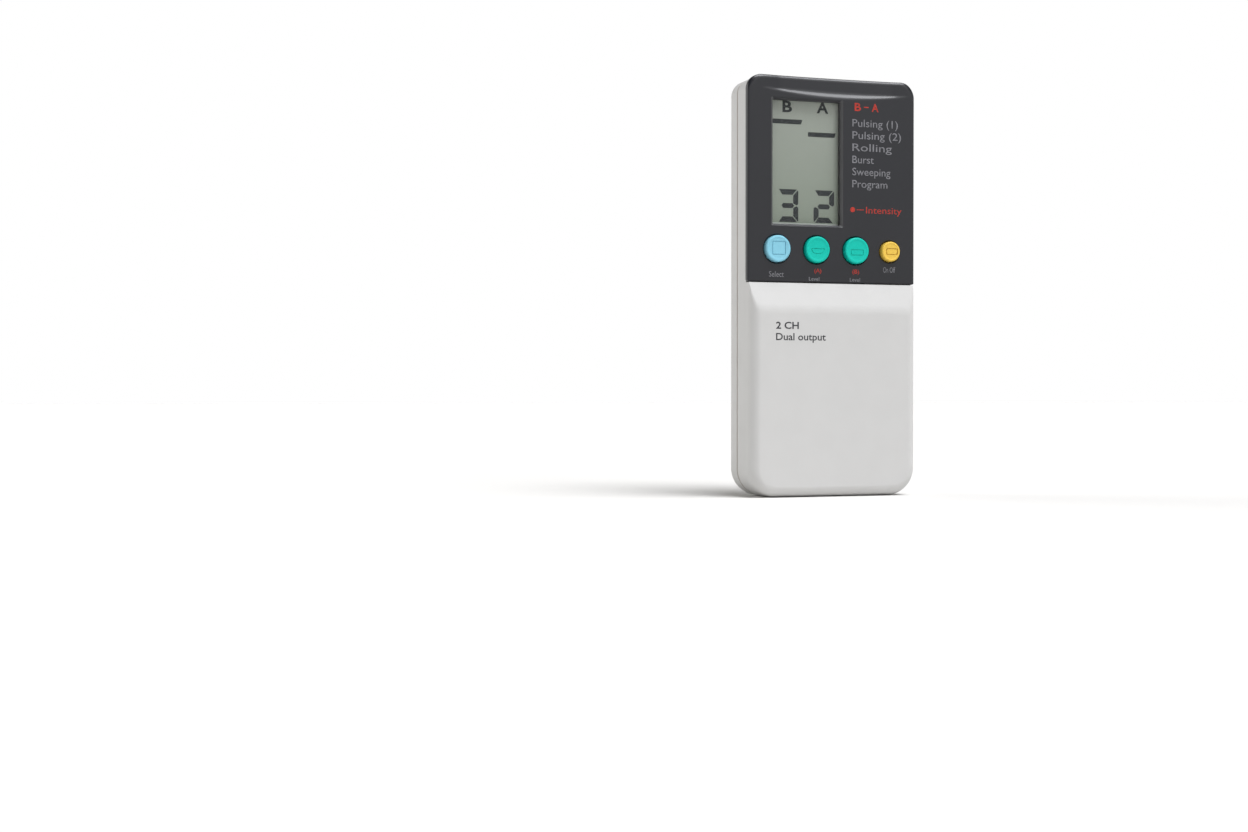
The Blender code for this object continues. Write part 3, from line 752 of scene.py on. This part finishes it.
def front_shell():
    """The front shell: hollowed, opened for the display and the keys, with posts for the screws."""
    shell = add("front_shell", front_shell_solid(), case_front, ["front_housing"])
    cut(shell, prism(case_outline(FRONT_WALL), SEAT_BACK, SEAM_FRONT + 2))
    inset = FRONT_WALL + 1
    lower = rounded(grown((-HALF, HALF), -inset), (inset, RAMP_FOOT - 2), 6.0, 1.0)
    cut(shell, prism(lower, NOSE + FRONT_WALL, SEAT_BACK + PAST))
    openings = [box(grown(LCD_X, GAP), (FACE, SEAT_BACK + PAST), grown(LCD_Z, GAP))]
    for name in KEYS:
        centre, radius = key_hole(name)
        openings.append(cylinder(radius, centre, FACE, SEAT_BACK + PAST))
    cut(shell, *openings)
    posts = [boss_below(screw_node) for screw_node in CASE_SCREWS + BOARD_SCREWS]
    join(shell, *[post for post, _ in posts])
    cut(shell, *[pilot for _, pilot in posts])
    even_shading(shell)


def key_hole(name):
    """Centre and radius of the hole that a key comes through."""
    node = f"{name}_key"
    return centre_xz(node), radius_of(node) - KEY_FLANGE + KEY_CLEARANCE


def boss_below(node):
    """The moulded post that a screw bites into, and its pilot hole."""
    centre = centre_xz(node)
    radius, pilot, end = BOARD_POST if node in BOARD_SCREWS else CASE_POST
    start = NOSE + 1 if centre[1] < RAMP_FOOT else SEAT + 0.6
    tip = span(node)[1][0]
    post = cylinder(radius, centre, start, end, segments=24)
    return post, cylinder(pilot, centre, tip - 0.4, end + PAST, segments=16)


def rear_shell():
    """The rear shell: hollowed, with a lip, a battery bay, screw wells and the holes of the jacks."""
    steps = [(SEAM_REAR, SEAM_CHAMFER), (SEAM_REAR + SEAM_CHAMFER, 0)] + rear_edge(BACK, REAR_FILLET, 16)
    shell = add("rear_shell", stepped(case_outline, steps), case_back, ["rear_housing"])
    join(shell, prism(case_outline(FRONT_WALL + GAP), SEAM_REAR - 1.2, SEAM_REAR + 1))
    hollow = [(SEAM_REAR - 2, REAR_WALL)]
    hollow += [(y, inset + REAR_WALL) for y, inset in rear_edge(BACK - BACK_WALL, 3.0, 6)]
    cut(shell, stepped(case_outline, hollow))
    battery_bay(shell)
    cut(shell, *[cylinder(1.25, centre_xz(node), -1, BACK, segments=16) for node in CASE_SCREWS])
    cut(shell, *[screw_well(node) for node in CASE_SCREWS], *[jack_hole(name) for name in ("a", "b")])
    even_shading(shell)


def rear_post(node, back):
    """The round post in the rear shell that a case screw runs through."""
    return cylinder(REAR_POST_RADIUS, centre_xz(node), 0.1, back, segments=24)


def battery_bay(shell):
    """The bay for the cells, with the ledge that the door lies on and the ribs between the cells."""
    ledge = BACK - (DOOR_THICKNESS + GAP)
    block = box(grown(BAY_X, BAY_WALL), (BAY_FLOOR_FRONT, BACK - 1), grown(BAY_Z, BAY_WALL))
    join(shell, block, *[rear_post(node, BACK - 1) for node in CASE_SCREWS[2:]])
    join(shell, box(grown(BAY_X, BAY_WALL), (ledge - 1.5, BACK - 0.9), (BAY_Z[1], DOOR_Z[1] + GAP + 1.2)))
    join(shell, *[rear_post(node, BACK - 1.1) for node in CASE_SCREWS[:2]])
    cut(shell, box(BAY_X, (BAY_FLOOR, BACK + PAST), BAY_Z))
    opening = rounded(grown(DOOR_X, GAP), (DOOR_BOTTOM - GAP, DOOR_Z[1] + GAP), 0.9, 0.9, 6)
    cut(shell, prism(opening, ledge, BACK + PAST))
    notches = [box(around(side * TAB_X, 4.8), (6.2, ledge + 0.01), (8.2, 13.0)) for side in (-1, 1)]
    leads = [box(around(side * 23.6, 4), around(2.6, 2.0), around(13.1, 1.8)) for side in (-1, 1)]
    cut(shell, *notches, *leads)
    join(shell, *[box(around(x, 0.8), (-3.2, 0.2), (13.5, 61.0)) for x in (-11.2, 0, 11.2)])


def screw_well(node):
    """The well that a case screw's head sits in, its mouth broken by a chamfer."""
    mouth = BACK + 0.45
    profile = [(0, 6.6), (2.2, 6.6), (2.2, BACK - 0.25), (2.9, mouth), (0, mouth)]
    return turned(profile, centre_xz(node), segments=40)


def jack_hole(name):
    """The hole in the top end for an output socket, its mouth broken by a chamfer."""
    foot, mouth = TOP - 6, TOP + 0.3
    profile = [(0, foot), (2.8, foot), (2.8, TOP - 0.3), (3.4, mouth), (0, mouth)]
    return turned(profile, centre_xy(f"jack_sleeve_{name}"), "z", 48)


# ---- panel, window and display ----


def eased(part):
    """The area under a smooth step from 0 to 1, up to a share of its width."""
    return part**3 - part**4 / 2


def scoop_depth(x, z):
    """Finger grip along the panel's top: a soft brow that bows down, then a band leaning back."""
    share = max(0.0, 1 - ((x - GRIP_CENTRE) / GRIP_REACH) ** 2)
    if not share:
        return 0.0
    width = 0.2 + 0.8 * share
    brow, cove = BROW * width, COVE * width
    steep = GRIP_SLOPE * min(1, 2.5 * share)
    lean = BAND_SLOPE * min(1, 2 * share)
    above = z - (GRIP_Z + GRIP_BOW * (x - GRIP_LOW_X) ** 2)
    depth = steep * brow * eased(min(max(above / brow + 1, 0), 1))
    if above > 0:
        part = min(above / cove, 1)
        depth += lean * above + (steep - lean) * cove * (part - eased(part))
    return depth


def panel_depth(x, z):
    """The dark panel's face, with its edges rolled back: widely at the top, tightly elsewhere."""
    side = BEZEL_X[1] - abs(x)
    top = PANEL_TOP - z
    low = z - BEZEL_Z[0]
    inside = min(side, low)
    topness = 0.0
    if top < TOP_RADIUS and side < TOP_RADIUS:
        away = Vector((TOP_RADIUS - side, TOP_RADIUS - top))
        inside = TOP_RADIUS - away.length
        topness = away.y / away.length
    elif top < min(side, TOP_RADIUS):
        inside = top
        topness = 1.0
    radius = PANEL_ROLL + (TOP_ROLL - PANEL_ROLL) * topness
    turn = math.sin(math.radians(90 + (TOP_TURN - 90) * topness))
    near = max(turn - max(inside, 0) / radius, 0)
    return FACE + scoop_depth(x, z) + radius * (1 - math.sqrt(1 - near**2))


def panel_half(z):
    """Half the panel's width at a height."""
    above = z - (PANEL_TOP - TOP_RADIUS)
    below = PANEL_ROLL - (z - BEZEL_Z[0])
    half = BEZEL_X[1]
    if above > 0:
        half -= TOP_RADIUS - math.sqrt(max(TOP_RADIUS**2 - above**2, 0))
    if below > 0:
        half -= PANEL_ROLL - math.sqrt(max(PANEL_ROLL**2 - below**2, 0))
    return half


def panel_rows():
    """Heights of the rows of the panel's grid, closest over the grip and at the top edge."""
    rows = [BEZEL_Z[0] + t for t in quarter_turn(PANEL_ROLL, 8)]
    rows += spread(BEZEL_Z[0] + PANEL_ROLL, FINE_ROWS_FROM, 6)[1:]
    rows += spread(FINE_ROWS_FROM, PANEL_TOP - TOP_ROLL, 0.14)[1:]
    rows += spread(PANEL_TOP - TOP_ROLL, PANEL_TOP - LAST_ROWS, 0.08)[1:]
    return rows + [PANEL_TOP - LAST_ROWS * (1 - k / 6) ** 2 for k in range(1, 7)]


def panel_solid():
    """The panel as a closed block: a grid over its face, drawn back to its flat underside."""
    bm = bmesh.new()
    grid = []
    for z in panel_rows():
        xs = across(panel_half(z), PANEL_ROLL, 8, 60)
        grid.append([bm.verts.new((x, panel_depth(x, z), z)) for x in xs])
    rim = sheet(bm, grid)
    back = [bm.verts.new((v.co.x, PANEL_BACK, v.co.z)) for v in rim]
    skin(bm, rim, back)
    bm.faces.new(back)
    return closed(bm)


def chamfered_hole(outline_at, chamfer):
    """A cutter through the panel that also breaks the hole's front edge."""
    steps = [(FACE - PAST, -chamfer - PAST), (FACE + chamfer, 0), (BEZEL_Y[1] + PAST, 0)]
    return stepped(outline_at, steps)


def key_cutter(name):
    """A cutter for the hole of a key, which also breaks its front edge."""
    centre, radius = key_hole(name)
    front, back = FACE - PAST, BEZEL_Y[1] + PAST
    profile = [(0, front), (radius + 1.25, front), (radius, FACE + 0.25), (radius, back), (0, back)]
    return turned(profile, centre, segments=96)


def display_panel():
    """The panel with a collar behind the display, its openings, and inside the display's opening a matt
    finish painted paler against the shade.
    """
    panel = add("display_panel", panel_solid(), panel_look, ["display_bezel"])
    collar_x, collar_z = grown(OPENING_X, OPENING_COLLAR), grown(OPENING_Z, OPENING_COLLAR)
    join(panel, box(collar_x, (PANEL_BACK - 0.5, BEZEL_Y[1]), collar_z))
    window = chamfered_hole(rounded_frame(OPENING_X, OPENING_Z, 0.45, 6), OPENING_CHAMFER)
    cut(panel, window, *[key_cutter(name) for name in KEYS])
    # Painted light: faces inside the display's opening get the paler, matt finish, which lifts their shade.
    panel.data.materials.append(lightened_wall_look)
    opening = [grown(OPENING_X, OPENING_LIGHTENED_REACH), grown(OPENING_Z, OPENING_LIGHTENED_REACH)]
    for face in panel.data.polygons:
        middle = face.center / MM
        inside = all(low < at < high for at, (low, high) in zip((middle.x, middle.z), opening))
        if inside and middle.y > FACE + 0.05:
            face.material_index = 1


def display_window():
    """The clear window, with a small chamfer round its front."""
    bevel = 0.12
    steps = [(WINDOW_Y[0], bevel), (WINDOW_Y[0] + bevel, 0), (WINDOW_Y[1], 0)]
    solid = stepped(rounded_frame(WINDOW_X, WINDOW_Z, 0.3, 4), steps)
    add("clear_window", solid, window_look, ["display_window"])


def lcd():
    """The display cell, and the dark shapes that it shows."""
    add("lcd_panel", box(LCD_X, LCD_Y, LCD_Z), lcd_look, ["lcd_cell"])
    solids = [bar(x, z) for x, z in LEVEL_BARS]
    for left, lit in DIGITS:
        solids += digit(left, DIGIT_BASE, lit)
    add("lcd_segments", together(*solids), segment_look)
    printed("lcd_letter_b", "B", (-16.6, -13.2), 125.6, 3.7, segment_look, 0.03, LCD_Y[0])
    printed("lcd_letter_a", "A", (-4.4, -0.2), 125.8, 3.7, segment_look, 0.03, LCD_Y[0])


def lit_shape(points):
    """A thin solid on the display cell's face."""
    return prism(points, LCD_Y[0] - SEGMENT, LCD_Y[0] - SEGMENT_FOOT)


def bar(x, z):
    """A level bar with a slanted right end."""
    low, high = z - BAR_HALF, z + BAR_HALF
    return lit_shape([(x[0], low), (x[1] - 0.5, low), (x[1], high), (x[0], high)])


def digit(left, bottom, lit):
    """The lit segments of a seven-segment digit."""
    width, height, thick = 7.4, 10.7, 1.8
    middle = height / 2
    inner = width - thick

    def flipped(points):
        return [(x, height - z) for x, z in points]

    def mirrored(points):
        return [(width - x, z) for x, z in points]

    top = [(0.5, height), (width - 0.45, height), (inner - 0.2, height - thick), (1.75, height - thick)]
    right = [(width - 0.2, height - 0.25), (width, height - 0.55), (width, middle + 0.6),
             (width - 0.6, middle + 0.15), (inner + 0.1, middle + 0.7), (inner, middle + 1.0),
             (inner, height - thick - 0.25)]
    bar_half = thick * 0.45
    centre = [(1.4, middle), (2.0, middle + bar_half), (inner - 0.3, middle + bar_half),
              (inner + 0.35, middle), (inner - 0.3, middle - bar_half), (2.0, middle - bar_half)]
    shapes = {
        "a": top,
        "b": right,
        "c": flipped(right),
        "d": flipped(top),
        "e": mirrored(flipped(right)),
        "f": mirrored(right),
        "g": centre,
    }
    return [lit_shape([(left + x, bottom + z) for x, z in shapes[name]]) for name in lit]


# ---- printed legends ----


def letters(text, bold):
    """Text as a thin mesh, in the font's own units."""
    curve = bpy.data.curves.new("text", "FONT")
    curve.body = text
    curve.offset = bold
    curve.resolution_u = 3
    curve.fill_mode = "BOTH"
    curve.extrude = 0.01
    maker = placed("maker", curve)
    mesh = baked(maker)
    bpy.data.objects.remove(maker)
    bpy.data.curves.remove(curve)
    return mesh


def printed(name, text, x, base, capital, look, bold=0.0, face=FACE):
    """Text that spans the (low, high) pair x, on a base line, on a face that looks along -Y."""
    mesh = letters(text, bold)
    left = min(v.co.x for v in mesh.vertices)
    right = max(v.co.x for v in mesh.vertices)
    for v in mesh.vertices:
        right_by = x[0] + (v.co.x - left) / (right - left) * (x[1] - x[0])
        up = base + v.co.y / CAPITAL * capital
        rise = INK if v.co.z > 0 else INK_FOOT
        v.co = (right_by * MM, (face - rise) * MM, up * MM)
    weld(mesh)
    mesh.name = name
    finish(mesh, look)
    obj = placed(name, mesh)
    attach(obj, CASE)


def legends():
    """Generic words for what the keys and the display show."""
    for k, (text, width) in enumerate(ROWS):
        base = ROW_BASE - k * ROW_PITCH
        printed(f"legend_row_{k + 1}", text, (ROW_LEFT, ROW_LEFT + width), base, 2.6, grey_ink)
    for name, x in (("b", (8.0, 10.3)), ("a", (14.2, 16.7))):
        printed(f"legend_channel_{name}", name.upper(), x, 126.7, 2.7, red_ink, 0.02)
    printed("legend_intensity", "Intensity", (12.2, 25.2), 93.1, 2.3, red_ink)
    depth = (FACE - INK, FACE - INK_FOOT)
    dash = box((11.4, 13.1), depth, (127.8, 128.15))
    line = box((8.8, 11.4), depth, (94.05, 94.3))
    dot = cylinder(0.85, (7.35, 94.15), *depth, segments=32)
    add("legend_red_marks", together(dash, line, dot), red_ink)
    printed("label_select", "Select", (-22.5, -17.3), 71.5, 1.9, grey_ink)
    for name, x, word in (("a", -5.2, -6.5), ("b", 8.5, 8.2)):
        printed(f"label_level_{name}", f"({name.upper()})", around(x, 2.5), 73.15, 1.4, red_ink, 0.01)
        printed(f"label_word_{name}", "Level", around(word, 3.7), 70.5, 1.3, grey_ink)
    printed("label_power", "On Off", (18.5, 22.9), 73.7, 1.9, grey_ink)
    printed("print_channels", "2 CH", (-21.1, -13.1), 54.6, 2.3, black_ink, 0.02, NOSE)
    printed("print_words", "Dual output", (-21.1, -3.5), 50.9, 2.4, black_ink, 0.012, NOSE)


# ---- keys ----


def key_cap(name, look, sign):
    """A cap with a soft raised rim and dished top, and its sign sunk into it."""
    node = f"{name}_key"
    centre, flange = centre_xz(node), radius_of(node)
    radius = flange - KEY_FLANGE
    face, back = span(node)[1]
    dish = [(radius * 0.72 * k / 6, face + 0.16 - 0.04 * (k / 6) ** 2) for k in range(7)]
    rim = [(radius * 0.78, face + 0.08), (radius * 0.82, face + 0.02), (radius * 0.85, face)]
    roll = []
    for degrees in range(10, 91, 8):
        turn = math.radians(degrees)
        out = radius - KEY_SHOULDER + KEY_SHOULDER * math.sin(turn)
        if out > radius * 0.86:
            roll.append((out, face + KEY_SHOULDER * (1 - math.cos(turn))))
    step = back - KEY_FLANGE_DEPTH
    body = [(radius, step), (flange, step), (flange, back), (0, back)]
    solid = turned(dish + rim + roll + body, centre, segments=96)
    cap = add(f"{name}_cap", solid, look, [node], f"{name}_button")
    cut(cap, engraved(sign, centre, face))


def engraved(sign, centre, face):
    """A closed groove of square section that follows an outline round a centre."""
    (right, up), depth, outline_at = sign
    bm = bmesh.new()
    rings = []
    for inset in (-GROOVE / 2, GROOVE / 2):
        outline = [(centre[0] + right + x, centre[1] + up + z) for x, z in outline_at(inset)]
        for y in (face + depth, face - 0.5):
            rings.append([bm.verts.new((x, y, z)) for x, z in outline])
    outer_low, outer_high, inner_low, inner_high = rings
    section = (outer_low, outer_high, inner_high, inner_low, outer_low)
    for first, second in zip(section, section[1:]):
        skin(bm, first, second)
    return closed(bm)


def framed(width, height):
    """A function that gives a sign's rounded rectangle for an inset."""
    return rounded_frame(around(0, width), around(0, height), SIGN_RADIUS, 4)


def bowl(inset):
    """A half-round outline, flat side up."""
    radius = BOWL_RADIUS - inset
    under = [(x, z * BOWL_SQUASH) for x, z in arc(0, 0, radius, 180, 360, 20)]
    return under + [(radius, BOWL_LIP - inset), (-radius, BOWL_LIP - inset)]


def keys():
    """The four caps, each with its sign as ((right, up), depth, outline)."""
    key_cap("select", key_plastic("key_light_blue", BLUE), ((0.2, 0.2), 0.34, framed(4.5, 4.2)))
    key_cap("level_a", key_plastic("key_teal_a", GREEN), ((0, 0), 0.3, bowl))
    key_cap("level_b", key_plastic("key_teal_b", GREEN), ((0, -0.6), 0.3, framed(4.4, 1.75)))
    key_cap("power", key_plastic("key_amber", YELLOW), ((0.3, 0), 0.5, framed(3.9, 1.9)))


# ---- back and ends ----


def battery_door():
    """The door, with its tabs, a springy tongue with a ridged grip, an arrow and two ribs."""
    inner, top = BACK - DOOR_THICKNESS, DOOR_Z[1]
    outline_at = rounded_frame(DOOR_X, (DOOR_BOTTOM, top), 0.8, 6)
    steps = [(inner, 0), (BACK - 0.25, 0), (BACK - 0.07, 0.07), (BACK, 0.25)]
    door = add("door_panel", stepped(outline_at, steps), door_look, ["battery_door"], "door")
    root = DOOR_BOTTOM + 0.3
    back, front = inner - 0.6, inner - 1.5
    tab = [(inner + 0.5, root), (inner + 0.5, root + 1.8), (front, root + 1.8),
           (front, DOOR_Z[0]), (back, DOOR_Z[0]), (back, root)]
    join(door, *[side_prism(tab, *around(side * TAB_X, 4.0)) for side in (-1, 1)])
    slots = [box(around(side * 7.0, 0.8), (inner - 1, BACK + PAST), (top - 9, top + 1)) for side in (-1, 1)]
    grip = rounded((-5.0, 5.0), (top - 7.5, top - 2.0), 1.0, 1.0, 6)
    cut(door, *slots, prism(grip, BACK - 0.6, BACK + PAST))
    ridge_y = (BACK - 0.8, BACK - 0.15)
    join(door, *[box((-4.2, 4.2), ridge_y, around(top - 6.3 + 1.55 * k, 0.5)) for k in range(3)])
    tip = top - 15.0
    arrow = [(0, tip), (2.6, tip + 4.2), (-2.6, tip + 4.2)]
    cut(door, prism(arrow, BACK - 0.25, BACK + PAST))
    join(door, *[box((-18, 18), (inner - 0.55, inner + 0.3), around(z, 0.9)) for z in (22, 52)])


def phillips(centre, top, radius, depth):
    """A tapering cross-shaped recess that opens towards +Y."""
    arm, wide = radius * 0.62, radius * 0.17
    corners = [(arm, -wide), (arm, wide), (wide, wide)]
    for _ in range(3):
        corners += [(-z, x) for x, z in corners[-3:]]
    rings = []
    for y, scale in ((top - depth, 0.55), (top + 0.4, 1.15)):
        rings.append([(centre[0] + x * scale, y, centre[1] + z * scale) for x, z in corners])
    return loft(rings)


def screw(node, look):
    """A dome-headed screw with ridges for a thread, and a cross recess in its head."""
    centre, radius = centre_xz(node), radius_of(node)
    low, high = span(node)[1]
    height, shank = (1.3, 0.8) if node in BOARD_SCREWS else (1.5, 0.95)
    seat, core = high - height, shank * 0.78
    pitch, bulge = 0.7, 0.7
    thread = []
    for k in range(int((seat - low - 1.2) / pitch)):
        start = low + 1.0 + k * pitch
        thread += [(core, start), (shank, start + pitch * 0.35), (core, start + pitch * 0.7)]
    dome = []
    for degrees in range(0, 90, 15):
        turn = math.radians(degrees)
        dome.append((radius * math.cos(turn), high - bulge + bulge * math.sin(turn)))
    foot = [(0, low), (shank * 0.3, low + 0.1)]
    profile = foot + thread + [(core, seat), (radius, seat)] + dome + [(0, high)]
    solid = turned(profile, centre, segments=32)
    made = add(node.replace("_screw", "_fastener"), solid, look, [node])
    cut(made, phillips(centre, high, radius, height * 0.75))


def jack(name):
    """The output socket's barrel with a rolled lip and a metal sleeve, standing in the top end."""
    node, sleeve_node = f"output_jack_{name}", f"jack_sleeve_{name}"
    x, y, (low, high) = span(node)
    centre = centre_xy(sleeve_node)
    body_top = high - 3.6
    body = add(f"socket_{name}", box(x, y, (low, body_top)), black_moulding, [node])
    foot = body_top - 2
    barrel = [(0, foot), (2.5, foot), (2.5, high - 0.35), (2.4, high - 0.1), (2.2, high), (0, high)]
    join(body, turned(barrel, centre, "z", 64))
    floor, mouth = low + 1.2, high + 0.1
    bore = [(0, floor), (1.9, floor), (1.9, high - 0.2), (2.15, mouth), (0, mouth)]
    cut(body, turned(bore, centre, "z", 64))
    end, rim = span(sleeve_node)[2]
    sleeve = [(0, end), (1.6, end), (1.6, rim - 0.15), (1.45, rim),
              (1.3, rim), (1.15, rim - 0.2), (1.15, end + 1), (0, end + 1)]
    solid = turned(sleeve, centre, "z", 48)
    add(f"socket_sleeve_{name}", solid, plated, [sleeve_node])


def aaa_cell(node, way, band):
    """A cell with a bare nub, an insulating ring, a printed band and a crimped end."""
    centre, radius = centre_xy(node), radius_of(node)
    low, high = span(node)[2]
    near, length = (high if way > 0 else low), high - low
    nub = [(0, 0), (1.6, 0), (1.9, 0.25), (1.9, 0.95), (3.6, 0.95), (3.6, 1.25), (0, 1.25)]
    can = [(0, 1.3), (3.7, 1.3), (3.7, 0.95), (4.3, 0.9), (4.9, 1.1), (radius, 1.7), (radius, length - 0.9),
           (radius - 0.15, length - 0.45), (radius - 0.5, length - 0.3), (0, length - 0.3)]
    base = [(0, length - 0.25), (4.1, length - 0.25), (4.1, length - 0.08), (3.9, length), (0, length)]
    for part, look, steps in (("nub", plated, nub), ("can", band, can), ("base", plated, base)):
        profile = [(r, near - way * along) for r, along in steps]
        stands_for = [node] if part == "can" else ()
        add(f"{node}_{part}", turned(profile, centre, "z", 56), look, stands_for)


def coil_spring(node, way):
    """A cone spring of round wire, with a flat closed turn at its base."""
    centre, outer = centre_xy(node), radius_of(node)
    low, high = span(node)[2]
    wire, turns, per_turn, sides = 0.3, 4.2, 40, 10
    base = low + wire if way > 0 else high - wire
    rise = (high - low) - 2 * wire
    count = int(turns * per_turn)
    section = [2 * math.pi * s / sides for s in range(sides)]
    up = Vector((0, 0, 1))
    rings = []
    for k in range(count + 1):
        part = k / count
        angle = 2 * math.pi * turns * part
        climb = max(0.0, (part - 0.2) / 0.8)
        radius = outer - wire - 1.6 * climb
        x, y = centre[0] + radius * math.cos(angle), centre[1] + radius * math.sin(angle)
        middle = Vector((x, y, base + way * rise * climb))
        out = Vector((math.cos(angle), math.sin(angle), 0))
        rings.append([middle + wire * (out * math.cos(a) + up * math.sin(a)) for a in section])
    name = node.replace("battery_spring", "cone_spring")
    add(name, loft(rings), plated, [node])


# ---- carried-over nodes ----


def carried_over():
    """Gives the frame's nodes that are shown as they are a finish each."""
    looks = {}
    for parts, values in INNER_FINISHES:
        look = moulded(*values).material
        looks |= {part: look for part in parts}
    black = ("battery_lead_negative", "_switch_body", "microcontroller", "buzzer")
    looks |= {part: black_moulding for part in black}
    looks |= {part: plated for part in ("crystal", "contact_plate")}
    for name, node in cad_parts.items():
        if node.hide_render:
            continue
        look = next(look for part, look in looks.items() if part in name)
        finish(node.data, look)


# ---- stage, lights and camera ----


def stage():
    """A plain pale floor, just under the unit."""
    floor = bpy.data.meshes.new("floor")
    side = 6.0
    corners = [(-side, -side, 0), (side, -side, 0), (side, side, 0), (-side, side, 0)]
    floor.from_pydata(corners, [], [(0, 1, 2, 3)])
    look = Look("floor_pale", (0.69, 0.68, 0.66), 0.9)
    look.mottle(400.0, 0.01)
    floor.materials.append(look.material)
    obj = placed("floor", floor)
    obj.location.z = -0.2 * MM


def sun(name, azimuth, elevation, spread_angle, strength, color=(1, 1, 1)):
    """Soft far light; azimuth 0 shines from the front and 90 from the unit's right."""
    light = bpy.data.lights.new(name, "SUN")
    light.energy = strength
    light.angle = math.radians(spread_angle)
    light.color = color
    turn, rise = math.radians(azimuth), math.radians(elevation)
    source = Vector((math.sin(turn) * math.cos(rise), -math.cos(turn) * math.cos(rise), math.sin(rise)))
    placed(name, light).rotation_euler = source.to_track_quat("Z", "Y").to_euler()


def surroundings():
    """A white studio: bright round the horizon, dimmer overhead."""
    world = bpy.data.worlds.new("studio")
    world.use_nodes = True
    nodes, links = world.node_tree.nodes, world.node_tree.links
    place = nodes.new("ShaderNodeTexCoord")
    split = nodes.new("ShaderNodeSeparateXYZ")
    fall = nodes.new("ShaderNodeMapRange")
    fall.interpolation_type = "SMOOTHSTEP"
    links.new(place.outputs["Generated"], split.inputs["Vector"])
    links.new(split.outputs["Z"], fall.inputs["Value"])
    for name, value in (("From Min", 0.22), ("From Max", 0.45), ("To Min", 1.0), ("To Max", 0.12)):
        fall.inputs[name].default_value = value
    links.new(fall.outputs["Result"], nodes["Background"].inputs["Strength"])
    nodes["Background"].inputs["Color"].default_value = (1, 1, 1, 1)
    bpy.context.scene.world = world


def lights():
    """A high main light from the front, a weak fill, and a low light from behind."""
    surroundings()
    sun("key_light", 33, 66, 40, 3.9, (0.99, 1.0, 1.03))
    sun("fill_light", 25, 31, 30, 0.42)
    sun("rim_light", -125, 22, 30, 0.9, (1.0, 0.99, 0.95))
    bpy.context.scene.view_settings.view_transform = "Standard"


def camera():
    """Stands a little to the unit's left, level with its lower front."""
    data = bpy.data.cameras.new("camera")
    data.sensor_width = 36
    data.lens = 50.9
    data.clip_start = 0.01
    obj = placed("camera", data)
    obj.location = (-0.24819, -0.53633, 0.03337)
    obj.rotation_euler = (math.radians(90 - 0.707), 0, math.radians(-18.444))
    bpy.context.scene.camera = obj


# ---- everything ----

case_front = white_plastic("case_white_front")
case_back = white_plastic("case_white_back")
door_look = moulded("door_white", *WHITE_FINISH).material
panel_look = dark_panel()
window_look = clear_plastic()
lcd_look = lcd_face()
# Painted light: paler, matt plastic for the shaded walls of the display's opening.
lightened_wall_look = lightened_opening_wall()
segment_look = ink("lcd_dark_segments", (0.035, 0.04, 0.042))
grey_ink = ink("ink_grey", (0.19, 0.19, 0.205))
red_ink = ink("ink_red", (0.40, 0.032, 0.02))
black_ink = ink("ink_black", (0.05, 0.05, 0.055))
black_moulding = moulded("moulding_black", (0.025, 0.025, 0.027), 0.42).material
plated = metal("plated_contact", (0.72, 0.71, 0.68), 0.28)
steel = metal("screw_steel", (0.6, 0.6, 0.62), 0.32, (1, 1, 1))
cell_band = moulded("cell_sleeve_dark", (0.06, 0.065, 0.075), 0.25, 1.0, 0.002, 0.15).material

front_shell()
rear_shell()
display_panel()
display_window()
lcd()
legends()
keys()
battery_door()
for fastener in CASE_SCREWS + BOARD_SCREWS:
    screw(fastener, steel)
for channel in ("a", "b"):
    jack(channel)
for number, way in ((1, 1), (2, -1), (3, 1), (4, -1)):
    aaa_cell(f"battery_cell_{number}", way, cell_band)
    coil_spring(f"battery_spring_{number}", way)
carried_over()
stage()
lights()
camera()
